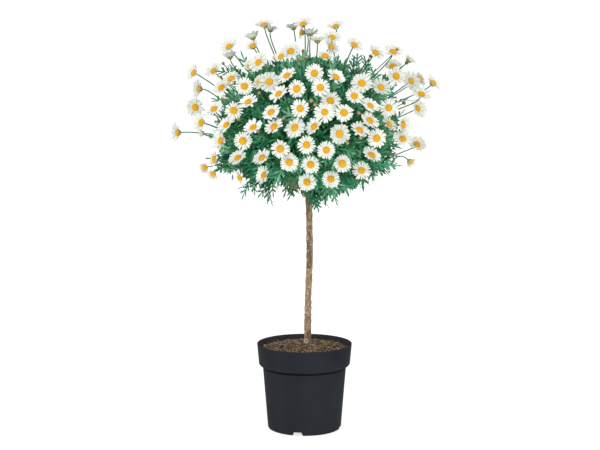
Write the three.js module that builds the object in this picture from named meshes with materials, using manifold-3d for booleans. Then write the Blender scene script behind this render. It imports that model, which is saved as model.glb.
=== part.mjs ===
// A marguerite daisy grown as a standard: a bare trunk with a round flowering head, in a round plastic pot.
// Millimetres, +Z up. The origin is the centre of the pot's flat underside, and -Y is the viewed side.
import * as THREE from "three";
import { mergeVertices } from "three/addons/utils/BufferGeometryUtils.js";
import Module from "manifold-3d";

const wasm = await Module();
wasm.setup();

// Clearance between separate pieces that rest on each other.
const GAP = 0.3;

// Pot
const POT_HEIGHT = 172;
const RIM_RADIUS = 95;
const COLLAR_HEIGHT = 42;
const COLLAR_FOOT_RADIUS = 91.2;
const BODY_TOP_RADIUS = 83.4;
const BODY_FOOT_RADIUS = 73.4;
const POT_WALL = 1.8;
const CORNER = 2.6;
const BASE_LIFT = 7;
const FOOT_RING_WIDTH = 3.6;
const CENTRE_FOOT_RADIUS = 14;
const POT_FACETS = 32;
const NOTCHES = 4;
const NOTCH_WIDTH = 19;
const NOTCH_TOP_WIDTH = 13;
const NOTCH_TURN = -101;
const DRAIN_HOLES = 8;
const DRAIN_RADIUS = 4.5;
const DRAIN_RING_RADIUS = 54;

// Potting soil: lower at the rim, mounded towards the trunk
const SOIL_AT_RIM = 158;
const SOIL_AT_TRUNK = 167.7;
const TRUNK_PAD_RADIUS = 20;

// Trunk: its line as [x, y, height], and its radius at the foot, along the stem and where the head begins
const TRUNK_LINE = [
  [6.3, 0, 150],
  [6.6, 0.5, 205],
  [7.4, 1, 263],
  [10.2, 0, 343],
  [9.2, -1, 430],
  [7.4, 0, 500],
  [7, 0, 612],
];
const TRUNK_FOOT_RADIUS = 8.2;
const TRUNK_RADIUS = 6.2;
const TRUNK_TIP_RADIUS = 3.2;
const TRUNK_SIDES = 9;
const TRUNK_STEPS = 34;
const FLARE_HEIGHT = 16;
const HEAD_START = 455;
const NODE_SPACING = 27;
const NODE_SWELL = 0.5;
const SCAR_HEIGHT = 177;
const SCAR_RADIUS = 4.4;
const SCAR_FACING = [-0.45, -0.9, 0.1];

// Head: its centre, and the reach of leaves and of flowers from it, sideways, upwards and downwards
const HEAD_CENTRE = new THREE.Vector3(7, 0, 597);
const LEAF_REACH = { side: 170, up: 144, down: 122 };
const FLOWER_REACH = { side: 222, up: 203, down: 118 };
const HEART_SHARE = 0.6;
const CORE_SHARE = 0.72;
const CORE_CLEARANCE = 2;
const PIECE_CLEARANCE = 0.4;

// Tiers of boughs: how many, their lean above the level, and where they leave the trunk and end
const TIERS = {
  lower: { count: 6, tilt: -5, turn: 18, root: 466, tip: [41, 516], bare: 44, floor: 0 },
  upper: { count: 4, tilt: 42, turn: 45, root: 506, tip: [27, 586], bare: 13, floor: 592 },
};
const TOP_FLOOR = 626;
const BOUGH_STAGGER = 12;
const STRAIGHT_STEM = 12;
const BOUGH_RADIUS = 4.2;
const BOUGH_TIP_RADIUS = 2.8;
const BOUGH_SIDES = 5;
const BOUGH_STEPS = 4;

// Shoots: each is a twig with lobed leaves, and most go on as a bare stalk with a daisy
const FLOWERING_SHOOTS = 74;
const LOWEST_FLOWER = -0.6;
const STALK_REACH = [0.92, 1.05];
const TWIG_REACH = 0.97;
const PULL_STEP = 0.06;
const MOST_PULL = 0.5;
const SKIRT_SHOOTS = 16;
const SKIRT_FALL = [-0.62, -0.86];
const TWIG_RADIUS = 2.2;
const STALK_RADIUS = 1.3;
const TWIG_SIDES = 3;
const SHOOT_STEPS = 4;
const STALK_BEND = 7;
const LEAVES_PER_SHOOT = 2;
const FIRST_LEAF = 0.76;
const SKIRT_STEPS = 2;
const SKIRT_LEAVES = 3;
const LEAF_LENGTH = 52;
const LEAF_WIDTH = 0.78;
const LEAF_THICKNESS = 1.6;
const FLOWER_RADIUS = 23;
const BUTTON_RADIUS = 9;
const BUTTON_HEIGHT = 4.5;
const CALYX_DEPTH = 5;
const PETALS = 7;
const NOTCH_SHARE = 0.62;
const FURTHEST_STALKS = [
  { toward: [-1, -0.05, -0.01], reach: 1.19 },
  { toward: [-0.85, 0, 0.53], reach: 1.13 },
  { toward: [0.93, 0.02, 0.38], reach: 1.21 },
  { toward: [0.05, 0, 1], reach: 1.05 },
];

const GOLDEN_ANGLE = Math.PI * (3 - Math.sqrt(5));
const UP = new THREE.Vector3(0, 0, 1);

THREE.MathUtils.seededRandom(41);
const random = () => THREE.MathUtils.seededRandom();
const spread = (low, high) => low + (high - low) * random();
const radians = THREE.MathUtils.degToRad;
const vec = (x, y, z) => new THREE.Vector3(x, y, z);

const plastic = new THREE.MeshStandardMaterial({ color: 0x2c3034, roughness: 0.55, metalness: 0 });
const earth = new THREE.MeshStandardMaterial({ color: 0x5b4d40, roughness: 1, metalness: 0 });
const bark = new THREE.MeshStandardMaterial({ color: 0x9a8468, roughness: 0.9, metalness: 0 });
const foliage = new THREE.MeshStandardMaterial({ color: 0x3c7a52, roughness: 0.7, metalness: 0 });

// A closed geometry as a solid that can be joined and cut, turned right side out.
function solidOf(geometry) {
  const bare = new THREE.BufferGeometry();
  bare.setAttribute("position", geometry.getAttribute("position"));
  bare.setIndex(geometry.getIndex());
  const merged = mergeVertices(bare, 1e-4);
  const triVerts = new Uint32Array(merged.getIndex().array);
  const vertProperties = new Float32Array(merged.getAttribute("position").array);
  const make = () => new wasm.Manifold(new wasm.Mesh({ numProp: 3, vertProperties, triVerts }));
  const solid = make();
  if (solid.volume() > 0) return solid;
  for (let i = 0; i < triVerts.length; i += 3)
    [triVerts[i + 1], triVerts[i + 2]] = [triVerts[i + 2], triVerts[i + 1]];
  return make();
}

// Triangles given as points and corner numbers, as a solid.
function solidOfFaces(points, faces) {
  const geometry = new THREE.BufferGeometry();
  geometry.setAttribute(
    "position",
    new THREE.Float32BufferAttribute(points.flatMap((p) => p.toArray()), 3),
  );
  geometry.setIndex(faces.flat());
  return solidOf(geometry);
}

function meshOf(solid, name, material) {
  const { vertProperties, triVerts } = solid.getMesh();
  const geometry = new THREE.BufferGeometry();
  geometry.setAttribute("position", new THREE.BufferAttribute(new Float32Array(vertProperties), 3));
  geometry.setIndex(new THREE.BufferAttribute(new Uint32Array(triVerts), 1));
  geometry.computeVertexNormals();
  const mesh = new THREE.Mesh(geometry, material);
  mesh.name = name;
  return mesh;
}

const joined = (solids) => solids.reduce((all, one) => all.add(one));

// A [radius, height] profile that starts and ends on the axis, turned about +Z.
function turned(profile, facets) {
  const points = profile.map(([r, z]) => new THREE.Vector2(r, z));
  return solidOf(new THREE.LatheGeometry(points, facets).rotateX(Math.PI / 2));
}

// Rings of `sides` corners carried along a smooth line: a flat cap on the first, the last left open.
function rings(curve, radiusAt, sides, steps) {
  const { tangents, normals, binormals } = curve.computeFrenetFrames(steps);
  const points = [];
  const faces = [];
  for (let i = 0; i <= steps; i++) {
    const centre = curve.getPointAt(i / steps);
    const radius = radiusAt(i / steps, centre);
    for (let j = 0; j < sides; j++) {
      const angle = (2 * Math.PI * j) / sides;
      const corner = centre.clone();
      corner.addScaledVector(normals[i], radius * Math.cos(angle));
      corner.addScaledVector(binormals[i], radius * Math.sin(angle));
      points.push(corner);
      if (i === steps) continue;
      const a = i * sides + j;
      const b = i * sides + ((j + 1) % sides);
      faces.push([a, b, b + sides], [a, b + sides, a + sides]);
    }
  }
  for (let j = 1; j < sides - 1; j++) faces.push([0, j + 1, j]);
  return { points, faces, end: [normals[steps], binormals[steps], tangents[steps]] };
}

// The point of a limb's middle line at a share of its length, on the straight run between two of its rings.
function onLimb(curve, share, steps) {
  const ring = Math.min(Math.floor(share * steps), steps - 1);
  return curve.getPointAt(ring / steps).lerp(curve.getPointAt((ring + 1) / steps), share * steps - ring);
}

// A tapering limb, flat at both ends.
function limb(line, radiusAt, sides, steps) {
  const { points, faces } = rings(new THREE.CatmullRomCurve3(line), radiusAt, sides, steps);
  const last = steps * sides;
  for (let j = 1; j < sides - 1; j++) faces.push([last, last + j, last + j + 1]);
  return solidOfFaces(points, faces);
}

const taper = (from, to) => (share) => from + (to - from) * share;

// The pot's wall line on the outside, from the foot to the lip.
function outerWall() {
  const collarFoot = POT_HEIGHT - COLLAR_HEIGHT;
  return [
    [BODY_FOOT_RADIUS - CORNER, 0],
    [BODY_FOOT_RADIUS - CORNER * 0.3, CORNER * 0.3],
    [BODY_FOOT_RADIUS, CORNER * 1.2],
    [BODY_TOP_RADIUS, collarFoot - 4],
    [COLLAR_FOOT_RADIUS - CORNER, collarFoot - 2.4],
    [COLLAR_FOOT_RADIUS - CORNER * 0.3, collarFoot - 0.6],
    [COLLAR_FOOT_RADIUS, collarFoot + CORNER],
    [RIM_RADIUS, POT_HEIGHT - 1.4],
    [RIM_RADIUS - 0.8, POT_HEIGHT],
  ];
}

// The same line on the inside, from the lip down to the floor, kept `clear` away from the wall.
function innerWall(top, clear) {
  const inset = POT_WALL + clear;
  const collarFoot = POT_HEIGHT - COLLAR_HEIGHT;
  const slope = (RIM_RADIUS - COLLAR_FOOT_RADIUS) / (COLLAR_HEIGHT - CORNER);
  const atTop = COLLAR_FOOT_RADIUS - inset + slope * (top - collarFoot - CORNER);
  const floor = BASE_LIFT + POT_WALL + clear;
  return [
    [atTop, top],
    [COLLAR_FOOT_RADIUS - inset, collarFoot + CORNER + clear],
    [BODY_TOP_RADIUS - inset, collarFoot - 2 + clear],
    [BODY_FOOT_RADIUS - inset + 0.6, floor],
  ];
}

function pot() {
  const ringInside = BODY_FOOT_RADIUS - CORNER - FOOT_RING_WIDTH;
  let solid = turned(
    [
      [0, 0],
      [CENTRE_FOOT_RADIUS, 0],
      [CENTRE_FOOT_RADIUS + 1, BASE_LIFT],
      [ringInside - 0.6, BASE_LIFT],
      [ringInside, 0],
      ...outerWall(),
      ...innerWall(POT_HEIGHT - 0.6, 0),
      [0, BASE_LIFT + POT_WALL],
    ],
    POT_FACETS,
  );
  for (let i = 0; i < NOTCHES; i++) {
    const outline = new THREE.Shape();
    outline.moveTo(-NOTCH_WIDTH / 2, -1);
    outline.lineTo(NOTCH_WIDTH / 2, -1);
    outline.lineTo(NOTCH_TOP_WIDTH / 2, BASE_LIFT - 0.5);
    outline.lineTo(-NOTCH_TOP_WIDTH / 2, BASE_LIFT - 0.5);
    const block = new THREE.ExtrudeGeometry(outline, { depth: 14, bevelEnabled: false });
    block.rotateX(Math.PI / 2).rotateZ(Math.PI / 2).translate(ringInside - 4, 0, 0);
    block.rotateZ(radians(NOTCH_TURN + (360 * i) / NOTCHES));
    solid = solid.subtract(solidOf(block));
  }
  for (let i = 0; i < DRAIN_HOLES; i++) {
    const hole = new THREE.CylinderGeometry(DRAIN_RADIUS, DRAIN_RADIUS, 8, 10);
    hole.rotateX(Math.PI / 2).translate(DRAIN_RING_RADIUS, 0, BASE_LIFT);
    hole.rotateZ((2 * Math.PI * (i + 0.5)) / DRAIN_HOLES);
    solid = solid.subtract(solidOf(hole));
  }
  return meshOf(solid, "pot", plastic);
}

function soil() {
  const fall = SOIL_AT_TRUNK - SOIL_AT_RIM;
  const wall = innerWall(SOIL_AT_RIM, GAP);
  const [rimRadius] = wall[0];
  const solid = turned(
    [
      [0, wall.at(-1)[1]],
      ...wall.reverse(),
      [rimRadius * 0.72, SOIL_AT_RIM + fall * 0.35],
      [rimRadius * 0.45, SOIL_AT_RIM + fall * 0.75],
      [TRUNK_PAD_RADIUS, SOIL_AT_TRUNK],
      [0, SOIL_AT_TRUNK],
    ],
    POT_FACETS,
  );
  return meshOf(solid, "potting_soil", earth);
}

const trunkLine = new THREE.CatmullRomCurve3(TRUNK_LINE.map((p) => vec(...p)));

// The point of the trunk's line at a height, found by halving.
function onTrunk(height) {
  let [low, high] = [0, 1];
  while (high - low > 1e-5) {
    const middle = (low + high) / 2;
    if (trunkLine.getPoint(middle).z < height) low = middle;
    else high = middle;
  }
  return trunkLine.getPoint(low);
}

// Flared at the foot, slightly swollen at each old leaf node, and drawn out thin inside the head.
function trunkRadius(height) {
  const flare = Math.exp(-(height - SOIL_AT_TRUNK) / FLARE_HEIGHT);
  const node = Math.max(0, Math.cos((2 * Math.PI * height) / NODE_SPACING)) ** 4;
  const stem = TRUNK_RADIUS + (TRUNK_FOOT_RADIUS - TRUNK_RADIUS) * flare + NODE_SWELL * node;
  const inHead = THREE.MathUtils.smoothstep(height, HEAD_START + 20, TRUNK_LINE.at(-1)[2]);
  return THREE.MathUtils.lerp(stem, TRUNK_TIP_RADIUS, inHead);
}

// The trunk's solid, grown all round by `extra` where it is used to cut its neighbours.
function trunkSolid(extra) {
  const ground = SOIL_AT_TRUNK + GAP;
  const radiusAt = (share, centre) => trunkRadius(centre.z) + extra;
  const stem = limb(trunkLine.getSpacedPoints(24), radiusAt, TRUNK_SIDES, TRUNK_STEPS);
  const facing = vec(...SCAR_FACING).normalize();
  const start = onTrunk(SCAR_HEIGHT);
  const end = start.clone().addScaledVector(facing, trunkRadius(SCAR_HEIGHT) + 3);
  const scar = limb([start, end], taper(SCAR_RADIUS + 1, SCAR_RADIUS), 8, 1);
  const below = new THREE.BoxGeometry(200, 200, 100).translate(0, 0, ground - 50);
  return stem.add(scar).subtract(solidOf(below));
}

const trunkClearance = trunkSolid(GAP);

// A direction from an azimuth and a height share: the height share is the sine of its lean above the level.
function direction(azimuth, rise) {
  const level = Math.sqrt(1 - rise * rise);
  return vec(level * Math.cos(azimuth), level * Math.sin(azimuth), rise);
}

// A direction carried out to the leaf or flower surface: a flattened ball, shallower below its middle.
function surfacePoint(toward, reach, share = 1) {
  const vertical = toward.z > 0 ? reach.up : reach.down;
  const offset = vec(toward.x * reach.side, toward.y * reach.side, toward.z * vertical);
  return HEAD_CENTRE.clone().addScaledVector(offset, share);
}

// The masses: a heart point each, and all but the top one a bough's line from the trunk to just inside.
function listMasses() {
  const masses = [{ name: "top", heart: surfacePoint(UP, LEAF_REACH, HEART_SHARE), floor: TOP_FLOOR }];
  for (const [tier, { count, tilt, turn, root, tip, bare, floor }] of Object.entries(TIERS))
    for (let i = 0; i < count; i++) {
      const azimuth = radians(turn + (360 * i) / count);
      const outward = vec(Math.cos(azimuth), Math.sin(azimuth), 0);
      const heart = surfacePoint(direction(azimuth, Math.sin(radians(tilt))), LEAF_REACH, HEART_SHARE);
      const start = onTrunk(root + (i % 2) * BOUGH_STAGGER);
      const end = HEAD_CENTRE.clone().setZ(tip[1]).addScaledVector(outward, tip[0]);
      const bend = start.clone().lerp(end, 0.5).addScaledVector(outward, 3);
      bend.z -= 4;
      masses.push({ name: `${tier}_${i + 1}`, heart, outward, bare, floor, bough: [start, bend, end] });
    }
  return masses;
}

// A mass's own space: nearer to its heart than to any other, clear of the bare middle, and above its floor.
function addSpaces(masses) {
  for (const mass of masses) {
    mass.walls = masses
      .filter((other) => other !== mass)
      .map((other) => {
        const normal = mass.heart.clone().sub(other.heart).normalize();
        const middle = mass.heart.clone().lerp(other.heart, 0.5);
        return new THREE.Plane().setFromNormalAndCoplanarPoint(normal, middle);
      });
    if (mass.outward) {
      const inner = HEAD_CENTRE.clone().addScaledVector(mass.outward, mass.bare);
      mass.walls.push(new THREE.Plane().setFromNormalAndCoplanarPoint(mass.outward, inner));
    }
    if (mass.floor) mass.walls.push(new THREE.Plane(UP, -mass.floor));
  }
  return masses;
}

const holds = (mass, points, clear) =>
  points.every((p) => mass.walls.every((wall) => wall.distanceToPoint(p) >= clear));

// Whether a point lies inside the core's share of the leaf surface.
function inCore(point) {
  const offset = point.clone().sub(HEAD_CENTRE);
  const vertical = offset.z > 0 ? LEAF_REACH.up : LEAF_REACH.down;
  offset.divide(vec(LEAF_REACH.side, LEAF_REACH.side, vertical));
  return offset.length() <= CORE_SHARE;
}

// The dense middle of a mass: a ball's corners pushed out from its heart until they meet its space's edge.
function core(mass) {
  const loose = new THREE.IcosahedronGeometry(1, 1);
  const ball = mergeVertices(loose.deleteAttribute("normal").deleteAttribute("uv"));
  const corners = ball.getAttribute("position");
  const stepLength = 1;
  for (let i = 0; i < corners.count; i++) {
    const toward = vec(0, 0, 0).fromBufferAttribute(corners, i).normalize();
    const point = mass.heart.clone();
    let reach = 0;
    while (reach < 200 && inCore(point) && holds(mass, [point], CORE_CLEARANCE)) {
      point.addScaledVector(toward, stepLength);
      reach += stepLength;
    }
    const lumps = spread(0.88, 0.98);
    corners.setXYZ(i, ...mass.heart.clone().addScaledVector(toward, reach * lumps).toArray());
  }
  return solidOf(ball);
}

// Two fans of faces on one outline, so that a blade is thick at its rib and sharp at its edge.
function blade(outline, above, below) {
  const count = outline.length;
  const faces = outline.flatMap((_, i) => {
    const next = (i + 1) % count;
    return [
      [i, next, count],
      [next, i, count + 1],
    ];
  });
  return { points: [...outline, above, below], faces };
}

// A three-lobed leaf from its root, along and across its own plane, with drooping tips.
function leaf(root, along, across, length) {
  const face = across.clone().cross(along).normalize();
  const lobes = [
    [-0.03, -0.05, 0],
    [0.62, -0.42, -0.1],
    [0.52, -0.1, 0],
    [1, 0, -0.16],
    [0.52, 0.1, 0],
    [0.62, 0.42, -0.1],
    [-0.03, 0.05, 0],
  ];
  const place = ([u, v, w]) =>
    root
      .clone()
      .addScaledVector(along, u * length)
      .addScaledVector(across, v * length * LEAF_WIDTH)
      .addScaledVector(face, w * length);
  const rib = place([0.42, 0, 0.03]);
  const above = rib.clone().addScaledVector(face, LEAF_THICKNESS / 2);
  const below = rib.clone().addScaledVector(face, -LEAF_THICKNESS / 2);
  return blade(lobes.map(place), above, below);
}

// A stalk that widens into its daisy: the last ring opens to the petals, which close over a raised button.
function daisyOnStalk(curve) {
  const { points, faces, end } = rings(curve, taper(TWIG_RADIUS, STALK_RADIUS), TWIG_SIDES, SHOOT_STEPS);
  const [side, other, facing] = end;
  const centre = curve.getPointAt(1).addScaledVector(facing, CALYX_DEPTH);
  const add = (radius, turn, height) =>
    points.push(
      centre
        .clone()
        .addScaledVector(side, radius * Math.cos(turn))
        .addScaledVector(other, radius * Math.sin(turn))
        .addScaledVector(facing, height),
    ) - 1;
  const half = Math.PI / PETALS;
  const corners = 2 * PETALS;
  const neck = SHOOT_STEPS * TWIG_SIDES;
  const neckOf = (i) => neck + Math.floor(((i % corners) * TWIG_SIDES) / corners);
  const edge = Array.from({ length: corners }, (_, i) =>
    add(i % 2 ? FLOWER_RADIUS * NOTCH_SHARE : FLOWER_RADIUS, half * i, 0),
  );
  const ring = Array.from({ length: PETALS }, (_, i) => add(BUTTON_RADIUS, half * (2 * i + 1), 1));
  const top = add(0, 0, BUTTON_HEIGHT);
  for (let i = 0; i < corners; i++) {
    const next = (i + 1) % corners;
    faces.push([edge[next], edge[i], neckOf(i)]);
    if (neckOf(next) !== neckOf(i)) faces.push([neckOf(next), edge[next], neckOf(i)]);
  }
  for (let i = 0; i < PETALS; i++) {
    const [tip, notch, nextTip] = [edge[2 * i], edge[2 * i + 1], edge[(2 * i + 2) % corners]];
    const [inner, nextInner] = [ring[i], ring[(i + 1) % PETALS]];
    faces.push([tip, notch, inner], [notch, nextTip, inner]);
    faces.push([nextTip, nextInner, inner], [inner, nextInner, top]);
  }
  return { points, faces };
}

// Leaves set round a shoot by the golden angle, leaning away from it, where they stay in the mass's space.
function leavesAlong(mass, curve, steps, count, firstShare, lastShare) {
  const start = spread(0, 2 * Math.PI);
  const made = [];
  for (let i = 0; i < count; i++) {
    const share = THREE.MathUtils.lerp(firstShare, lastShare, i / (count - 1));
    const along = curve.getTangentAt(share);
    const side = along.clone().cross(vec(0.2, 0.1, 1)).normalize();
    const out = side.applyAxisAngle(along, start + i * GOLDEN_ANGLE);
    const root = onLimb(curve, share, steps);
    const heading = along.clone().addScaledVector(out, spread(0.9, 1.5)).normalize();
    const across = heading.clone().cross(out).normalize();
    const one = leaf(root, heading, across, LEAF_LENGTH * spread(0.85, 1.1));
    if (holds(mass, one.points, PIECE_CLEARANCE)) made.push(solidOfFaces(one.points, one.faces));
  }
  return made;
}

// A daisy faces half as steeply as its place on the head, because the side ones turn to the light.
function facingOf(toward) {
  const jitter = vec(spread(-0.16, 0.16), spread(-0.16, 0.16), spread(-0.1, 0.16));
  return vec(toward.x * 1.3, toward.y * 1.3, toward.z * 0.5 + 0.1).add(jitter).normalize();
}

// One flowering shoot: leafy to the leaf surface, then a bare stalk to its daisy. It leans in until it fits.
function floweringShoot(mass, toward, reach) {
  const facing = facingOf(toward);
  const ownWay = mass.heart.clone().sub(HEAD_CENTRE).normalize();
  for (let pull = 0; pull < MOST_PULL; pull += PULL_STEP) {
    const way = toward.clone().lerp(ownWay, pull).normalize();
    const tip = surfacePoint(way, LEAF_REACH, TWIG_REACH);
    const neck = surfacePoint(way, FLOWER_REACH, reach).addScaledVector(facing, -CALYX_DEPTH);
    const bend = tip.clone().lerp(neck, 0.6).addScaledVector(facing, -STALK_BEND);
    const curve = new THREE.CatmullRomCurve3([mass.heart, tip, bend, neck]);
    const shoot = daisyOnStalk(curve);
    if (!holds(mass, [...shoot.points.slice(TWIG_SIDES), tip], PIECE_CLEARANCE)) continue;
    const leafy = mass.heart.distanceTo(tip) / curve.getLength();
    const leaves = leavesAlong(mass, curve, SHOOT_STEPS, LEAVES_PER_SHOOT, leafy * FIRST_LEAF, leafy);
    return [solidOfFaces(shoot.points, shoot.faces), ...leaves];
  }
  return [];
}

// One leafy shoot under the head, which hangs its leaves outwards and down.
function skirtShoot(mass, toward) {
  const tip = surfacePoint(toward, LEAF_REACH, TWIG_REACH);
  if (!holds(mass, [tip], 2 * TWIG_RADIUS)) return [];
  const line = [mass.heart, mass.heart.clone().lerp(tip, 0.5), tip];
  const stem = limb(line, taper(TWIG_RADIUS, STALK_RADIUS), TWIG_SIDES, SKIRT_STEPS);
  const curve = new THREE.CatmullRomCurve3(line);
  return [stem, ...leavesAlong(mass, curve, SKIRT_STEPS, SKIRT_LEAVES, FIRST_LEAF, TWIG_REACH)];
}

// Directions spaced evenly over the head between two height shares, by the golden angle.
function evenDirections(count, highest, lowest) {
  return Array.from({ length: count }, (_, i) =>
    direction(i * GOLDEN_ANGLE, highest + ((lowest - highest) * (i + 0.5)) / count),
  );
}

// The flowers' directions, evenly spaced: the one nearest to each furthest stalk is turned to be that stalk.
function flowerDirections() {
  const even = evenDirections(FLOWERING_SHOOTS, 1, LOWEST_FLOWER);
  const flowers = even.map((toward) => ({ toward, reach: spread(...STALK_REACH) }));
  for (const far of FURTHEST_STALKS) {
    const toward = vec(...far.toward).normalize();
    const angles = flowers.map((flower) => flower.toward.angleTo(toward));
    flowers[angles.indexOf(Math.min(...angles))] = { toward, reach: far.reach };
  }
  return flowers;
}

const nearestMass = (masses, point) =>
  masses.reduce((best, mass) =>
    mass.heart.distanceTo(point) < best.heart.distanceTo(point) ? mass : best,
  );

// The stem of each mass starts where its bough, or the trunk's tip, ends.
function stemOf(mass) {
  const line = mass.bough ?? [onTrunk(TRUNK_LINE.at(-1)[2] - 20), vec(...TRUNK_LINE.at(-1))];
  const end = line.at(-1);
  const along = end.clone().sub(line.at(-2)).normalize();
  const start = end.clone().addScaledVector(along, GAP);
  const middle = start.clone().addScaledVector(along, STRAIGHT_STEM);
  const thickness = taper(BOUGH_TIP_RADIUS, TWIG_RADIUS);
  return limb([start, middle, mass.heart], thickness, BOUGH_SIDES, BOUGH_STEPS - 1);
}

function crown() {
  const masses = addSpaces(listMasses());
  const pieces = new Map(masses.map((mass) => [mass, [core(mass), stemOf(mass)]]));
  for (const { toward, reach } of flowerDirections()) {
    const mass = nearestMass(masses, surfacePoint(toward, FLOWER_REACH));
    pieces.get(mass).push(...floweringShoot(mass, toward, reach));
  }
  for (const toward of evenDirections(SKIRT_SHOOTS, ...SKIRT_FALL)) {
    const mass = nearestMass(masses, surfacePoint(toward, LEAF_REACH));
    pieces.get(mass).push(...skirtShoot(mass, toward));
  }
  return masses.map((mass) => meshOf(joined(pieces.get(mass)), `crown_${mass.name}`, foliage));
}

function boughs() {
  return listMasses()
    .filter((mass) => mass.bough)
    .map((mass) => {
      const solid = limb(mass.bough, taper(BOUGH_RADIUS, BOUGH_TIP_RADIUS), BOUGH_SIDES, BOUGH_STEPS);
      return meshOf(solid.subtract(trunkClearance), `bough_${mass.name}`, bark);
    });
}

const plant = new THREE.Group();
plant.add(pot(), soil(), meshOf(trunkSolid(0), "trunk", bark), ...boughs(), ...crown());

export default plant;
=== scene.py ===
import bmesh
import bpy
import numpy as np
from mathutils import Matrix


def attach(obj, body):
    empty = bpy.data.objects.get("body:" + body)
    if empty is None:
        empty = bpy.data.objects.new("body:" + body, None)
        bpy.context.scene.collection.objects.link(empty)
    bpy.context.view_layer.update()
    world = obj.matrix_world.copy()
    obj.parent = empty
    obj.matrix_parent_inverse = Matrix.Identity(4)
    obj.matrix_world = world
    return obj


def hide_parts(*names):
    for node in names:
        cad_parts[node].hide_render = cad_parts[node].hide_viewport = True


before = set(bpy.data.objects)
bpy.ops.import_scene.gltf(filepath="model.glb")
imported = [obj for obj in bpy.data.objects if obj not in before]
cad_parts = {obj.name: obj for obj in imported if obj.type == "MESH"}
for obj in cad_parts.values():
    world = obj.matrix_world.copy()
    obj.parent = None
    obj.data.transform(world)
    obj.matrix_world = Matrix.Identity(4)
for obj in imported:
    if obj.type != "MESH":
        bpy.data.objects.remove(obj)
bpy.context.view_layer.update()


# The studio is a white light table in a white surround, with a large soft lamp on the camera's left and a
# weaker one on its right. The camera stands where the photograph's did: level with the head, looking
# slightly down at the plant.
CAMERA_HEIGHT = 0.727
CAMERA_DISTANCE = 2.7
CAMERA_TILT = 6.7
CAMERA_TURN = 0.19
CAMERA_LENS = 82.2
FLOOR_HALF_WIDTH = 12
SURROUND_STRENGTH = 0.94
BACKDROP_STRENGTH = 1.05
FLOOR_GLOW = 0.72
LAMP_WIDTH = 1.0
LAMP_AIM = [0, 0, 0.45]
LAMPS = {"key_lamp": ((-1.0, -2.9, 1.35), 17), "fill_lamp": ((1.2, -2.8, 0.9), 7)}


def linear(*shade):
    """A screen colour from 0 to 255 as the light it stands for: ((c + 0.055) / 1.055) to the power 2.4."""
    share = np.array(shade) / 255
    return tuple(float(c) for c in np.where(share > 0.04, ((share + 0.055) / 1.055) ** 2.4, share / 12.92))


def pattern(finish, grain, detail=4, stretch=1):
    """A pattern fixed to the piece, `grain` to the metre, drawn out upward where `stretch` is under 1."""
    nodes, links = finish.node_tree.nodes, finish.node_tree.links
    place = nodes.new("ShaderNodeTexCoord")
    stretched = nodes.new("ShaderNodeMapping")
    stretched.inputs["Scale"].default_value = (1, 1, stretch)
    links.new(place.outputs["Object"], stretched.inputs["Vector"])
    made = nodes.new("ShaderNodeTexNoise")
    made.inputs["Scale"].default_value = grain
    made.inputs["Detail"].default_value = detail
    links.new(stretched.outputs["Vector"], made.inputs["Vector"])
    return made.outputs[0]


def new_finish(name, roughness, gloss, grain, stops, *reliefs):
    """A material. Its base colour goes through the stops, each a share and a screen colour, as its pattern's
    value rises. Each relief raises the surface by up to its height in metres, by a pattern of its own."""
    made = bpy.data.materials.new(name)
    made.use_nodes = True
    nodes, links = made.node_tree.nodes, made.node_tree.links
    shader = nodes["Principled BSDF"]
    shader.inputs["Roughness"].default_value = roughness
    shader.inputs["Specular IOR Level"].default_value = gloss
    ramp = nodes.new("ShaderNodeValToRGB")
    points = ramp.color_ramp.elements
    while len(points) < len(stops):
        points.new(0.5)
    for point, (share, shade) in zip(points, stops.items()):
        point.position = share
        point.color = (*linear(*shade), 1)
    links.new(pattern(made, *grain), ramp.inputs["Fac"])
    links.new(ramp.outputs["Color"], shader.inputs["Base Color"])
    for height, *fine_grain in reliefs:
        raised = nodes.new("ShaderNodeBump")
        raised.inputs["Distance"].default_value = height
        links.new(pattern(made, *fine_grain), raised.inputs["Height"])
        if shader.inputs["Normal"].is_linked:
            links.new(shader.inputs["Normal"].links[0].from_socket, raised.inputs["Normal"])
        links.new(raised.outputs["Normal"], shader.inputs["Normal"])
    return made


def put(name, points, triangles, finishes, chosen=None, smooth=True):
    """One mesh from whole arrays of points and triangles, with the number of each triangle's finish."""
    mesh = bpy.data.meshes.new(name)
    mesh.vertices.add(len(points))
    mesh.vertices.foreach_set("co", np.asarray(points, np.float32).ravel())
    mesh.loops.add(triangles.size)
    mesh.loops.foreach_set("vertex_index", triangles.astype(np.int32).ravel())
    mesh.polygons.add(len(triangles))
    mesh.polygons.foreach_set("loop_start", np.arange(0, triangles.size, 3, dtype=np.int32))
    mesh.polygons.foreach_set("use_smooth", np.full(len(triangles), smooth))
    if chosen is not None:
        mesh.polygons.foreach_set("material_index", np.asarray(chosen, np.int32))
    mesh.update(calc_edges=True)
    for one in finishes:
        mesh.materials.append(one)
    piece = bpy.data.objects.new(name, mesh)
    bpy.context.scene.collection.objects.link(piece)
    return piece


camera = bpy.data.objects.new("camera", bpy.data.cameras.new("camera"))
camera.data.lens = CAMERA_LENS
camera.location = (0, -CAMERA_DISTANCE, CAMERA_HEIGHT)
camera.rotation_euler = np.radians([90 - CAMERA_TILT, 0, CAMERA_TURN])
bpy.context.scene.collection.objects.link(camera)
bpy.context.scene.camera = camera

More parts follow.
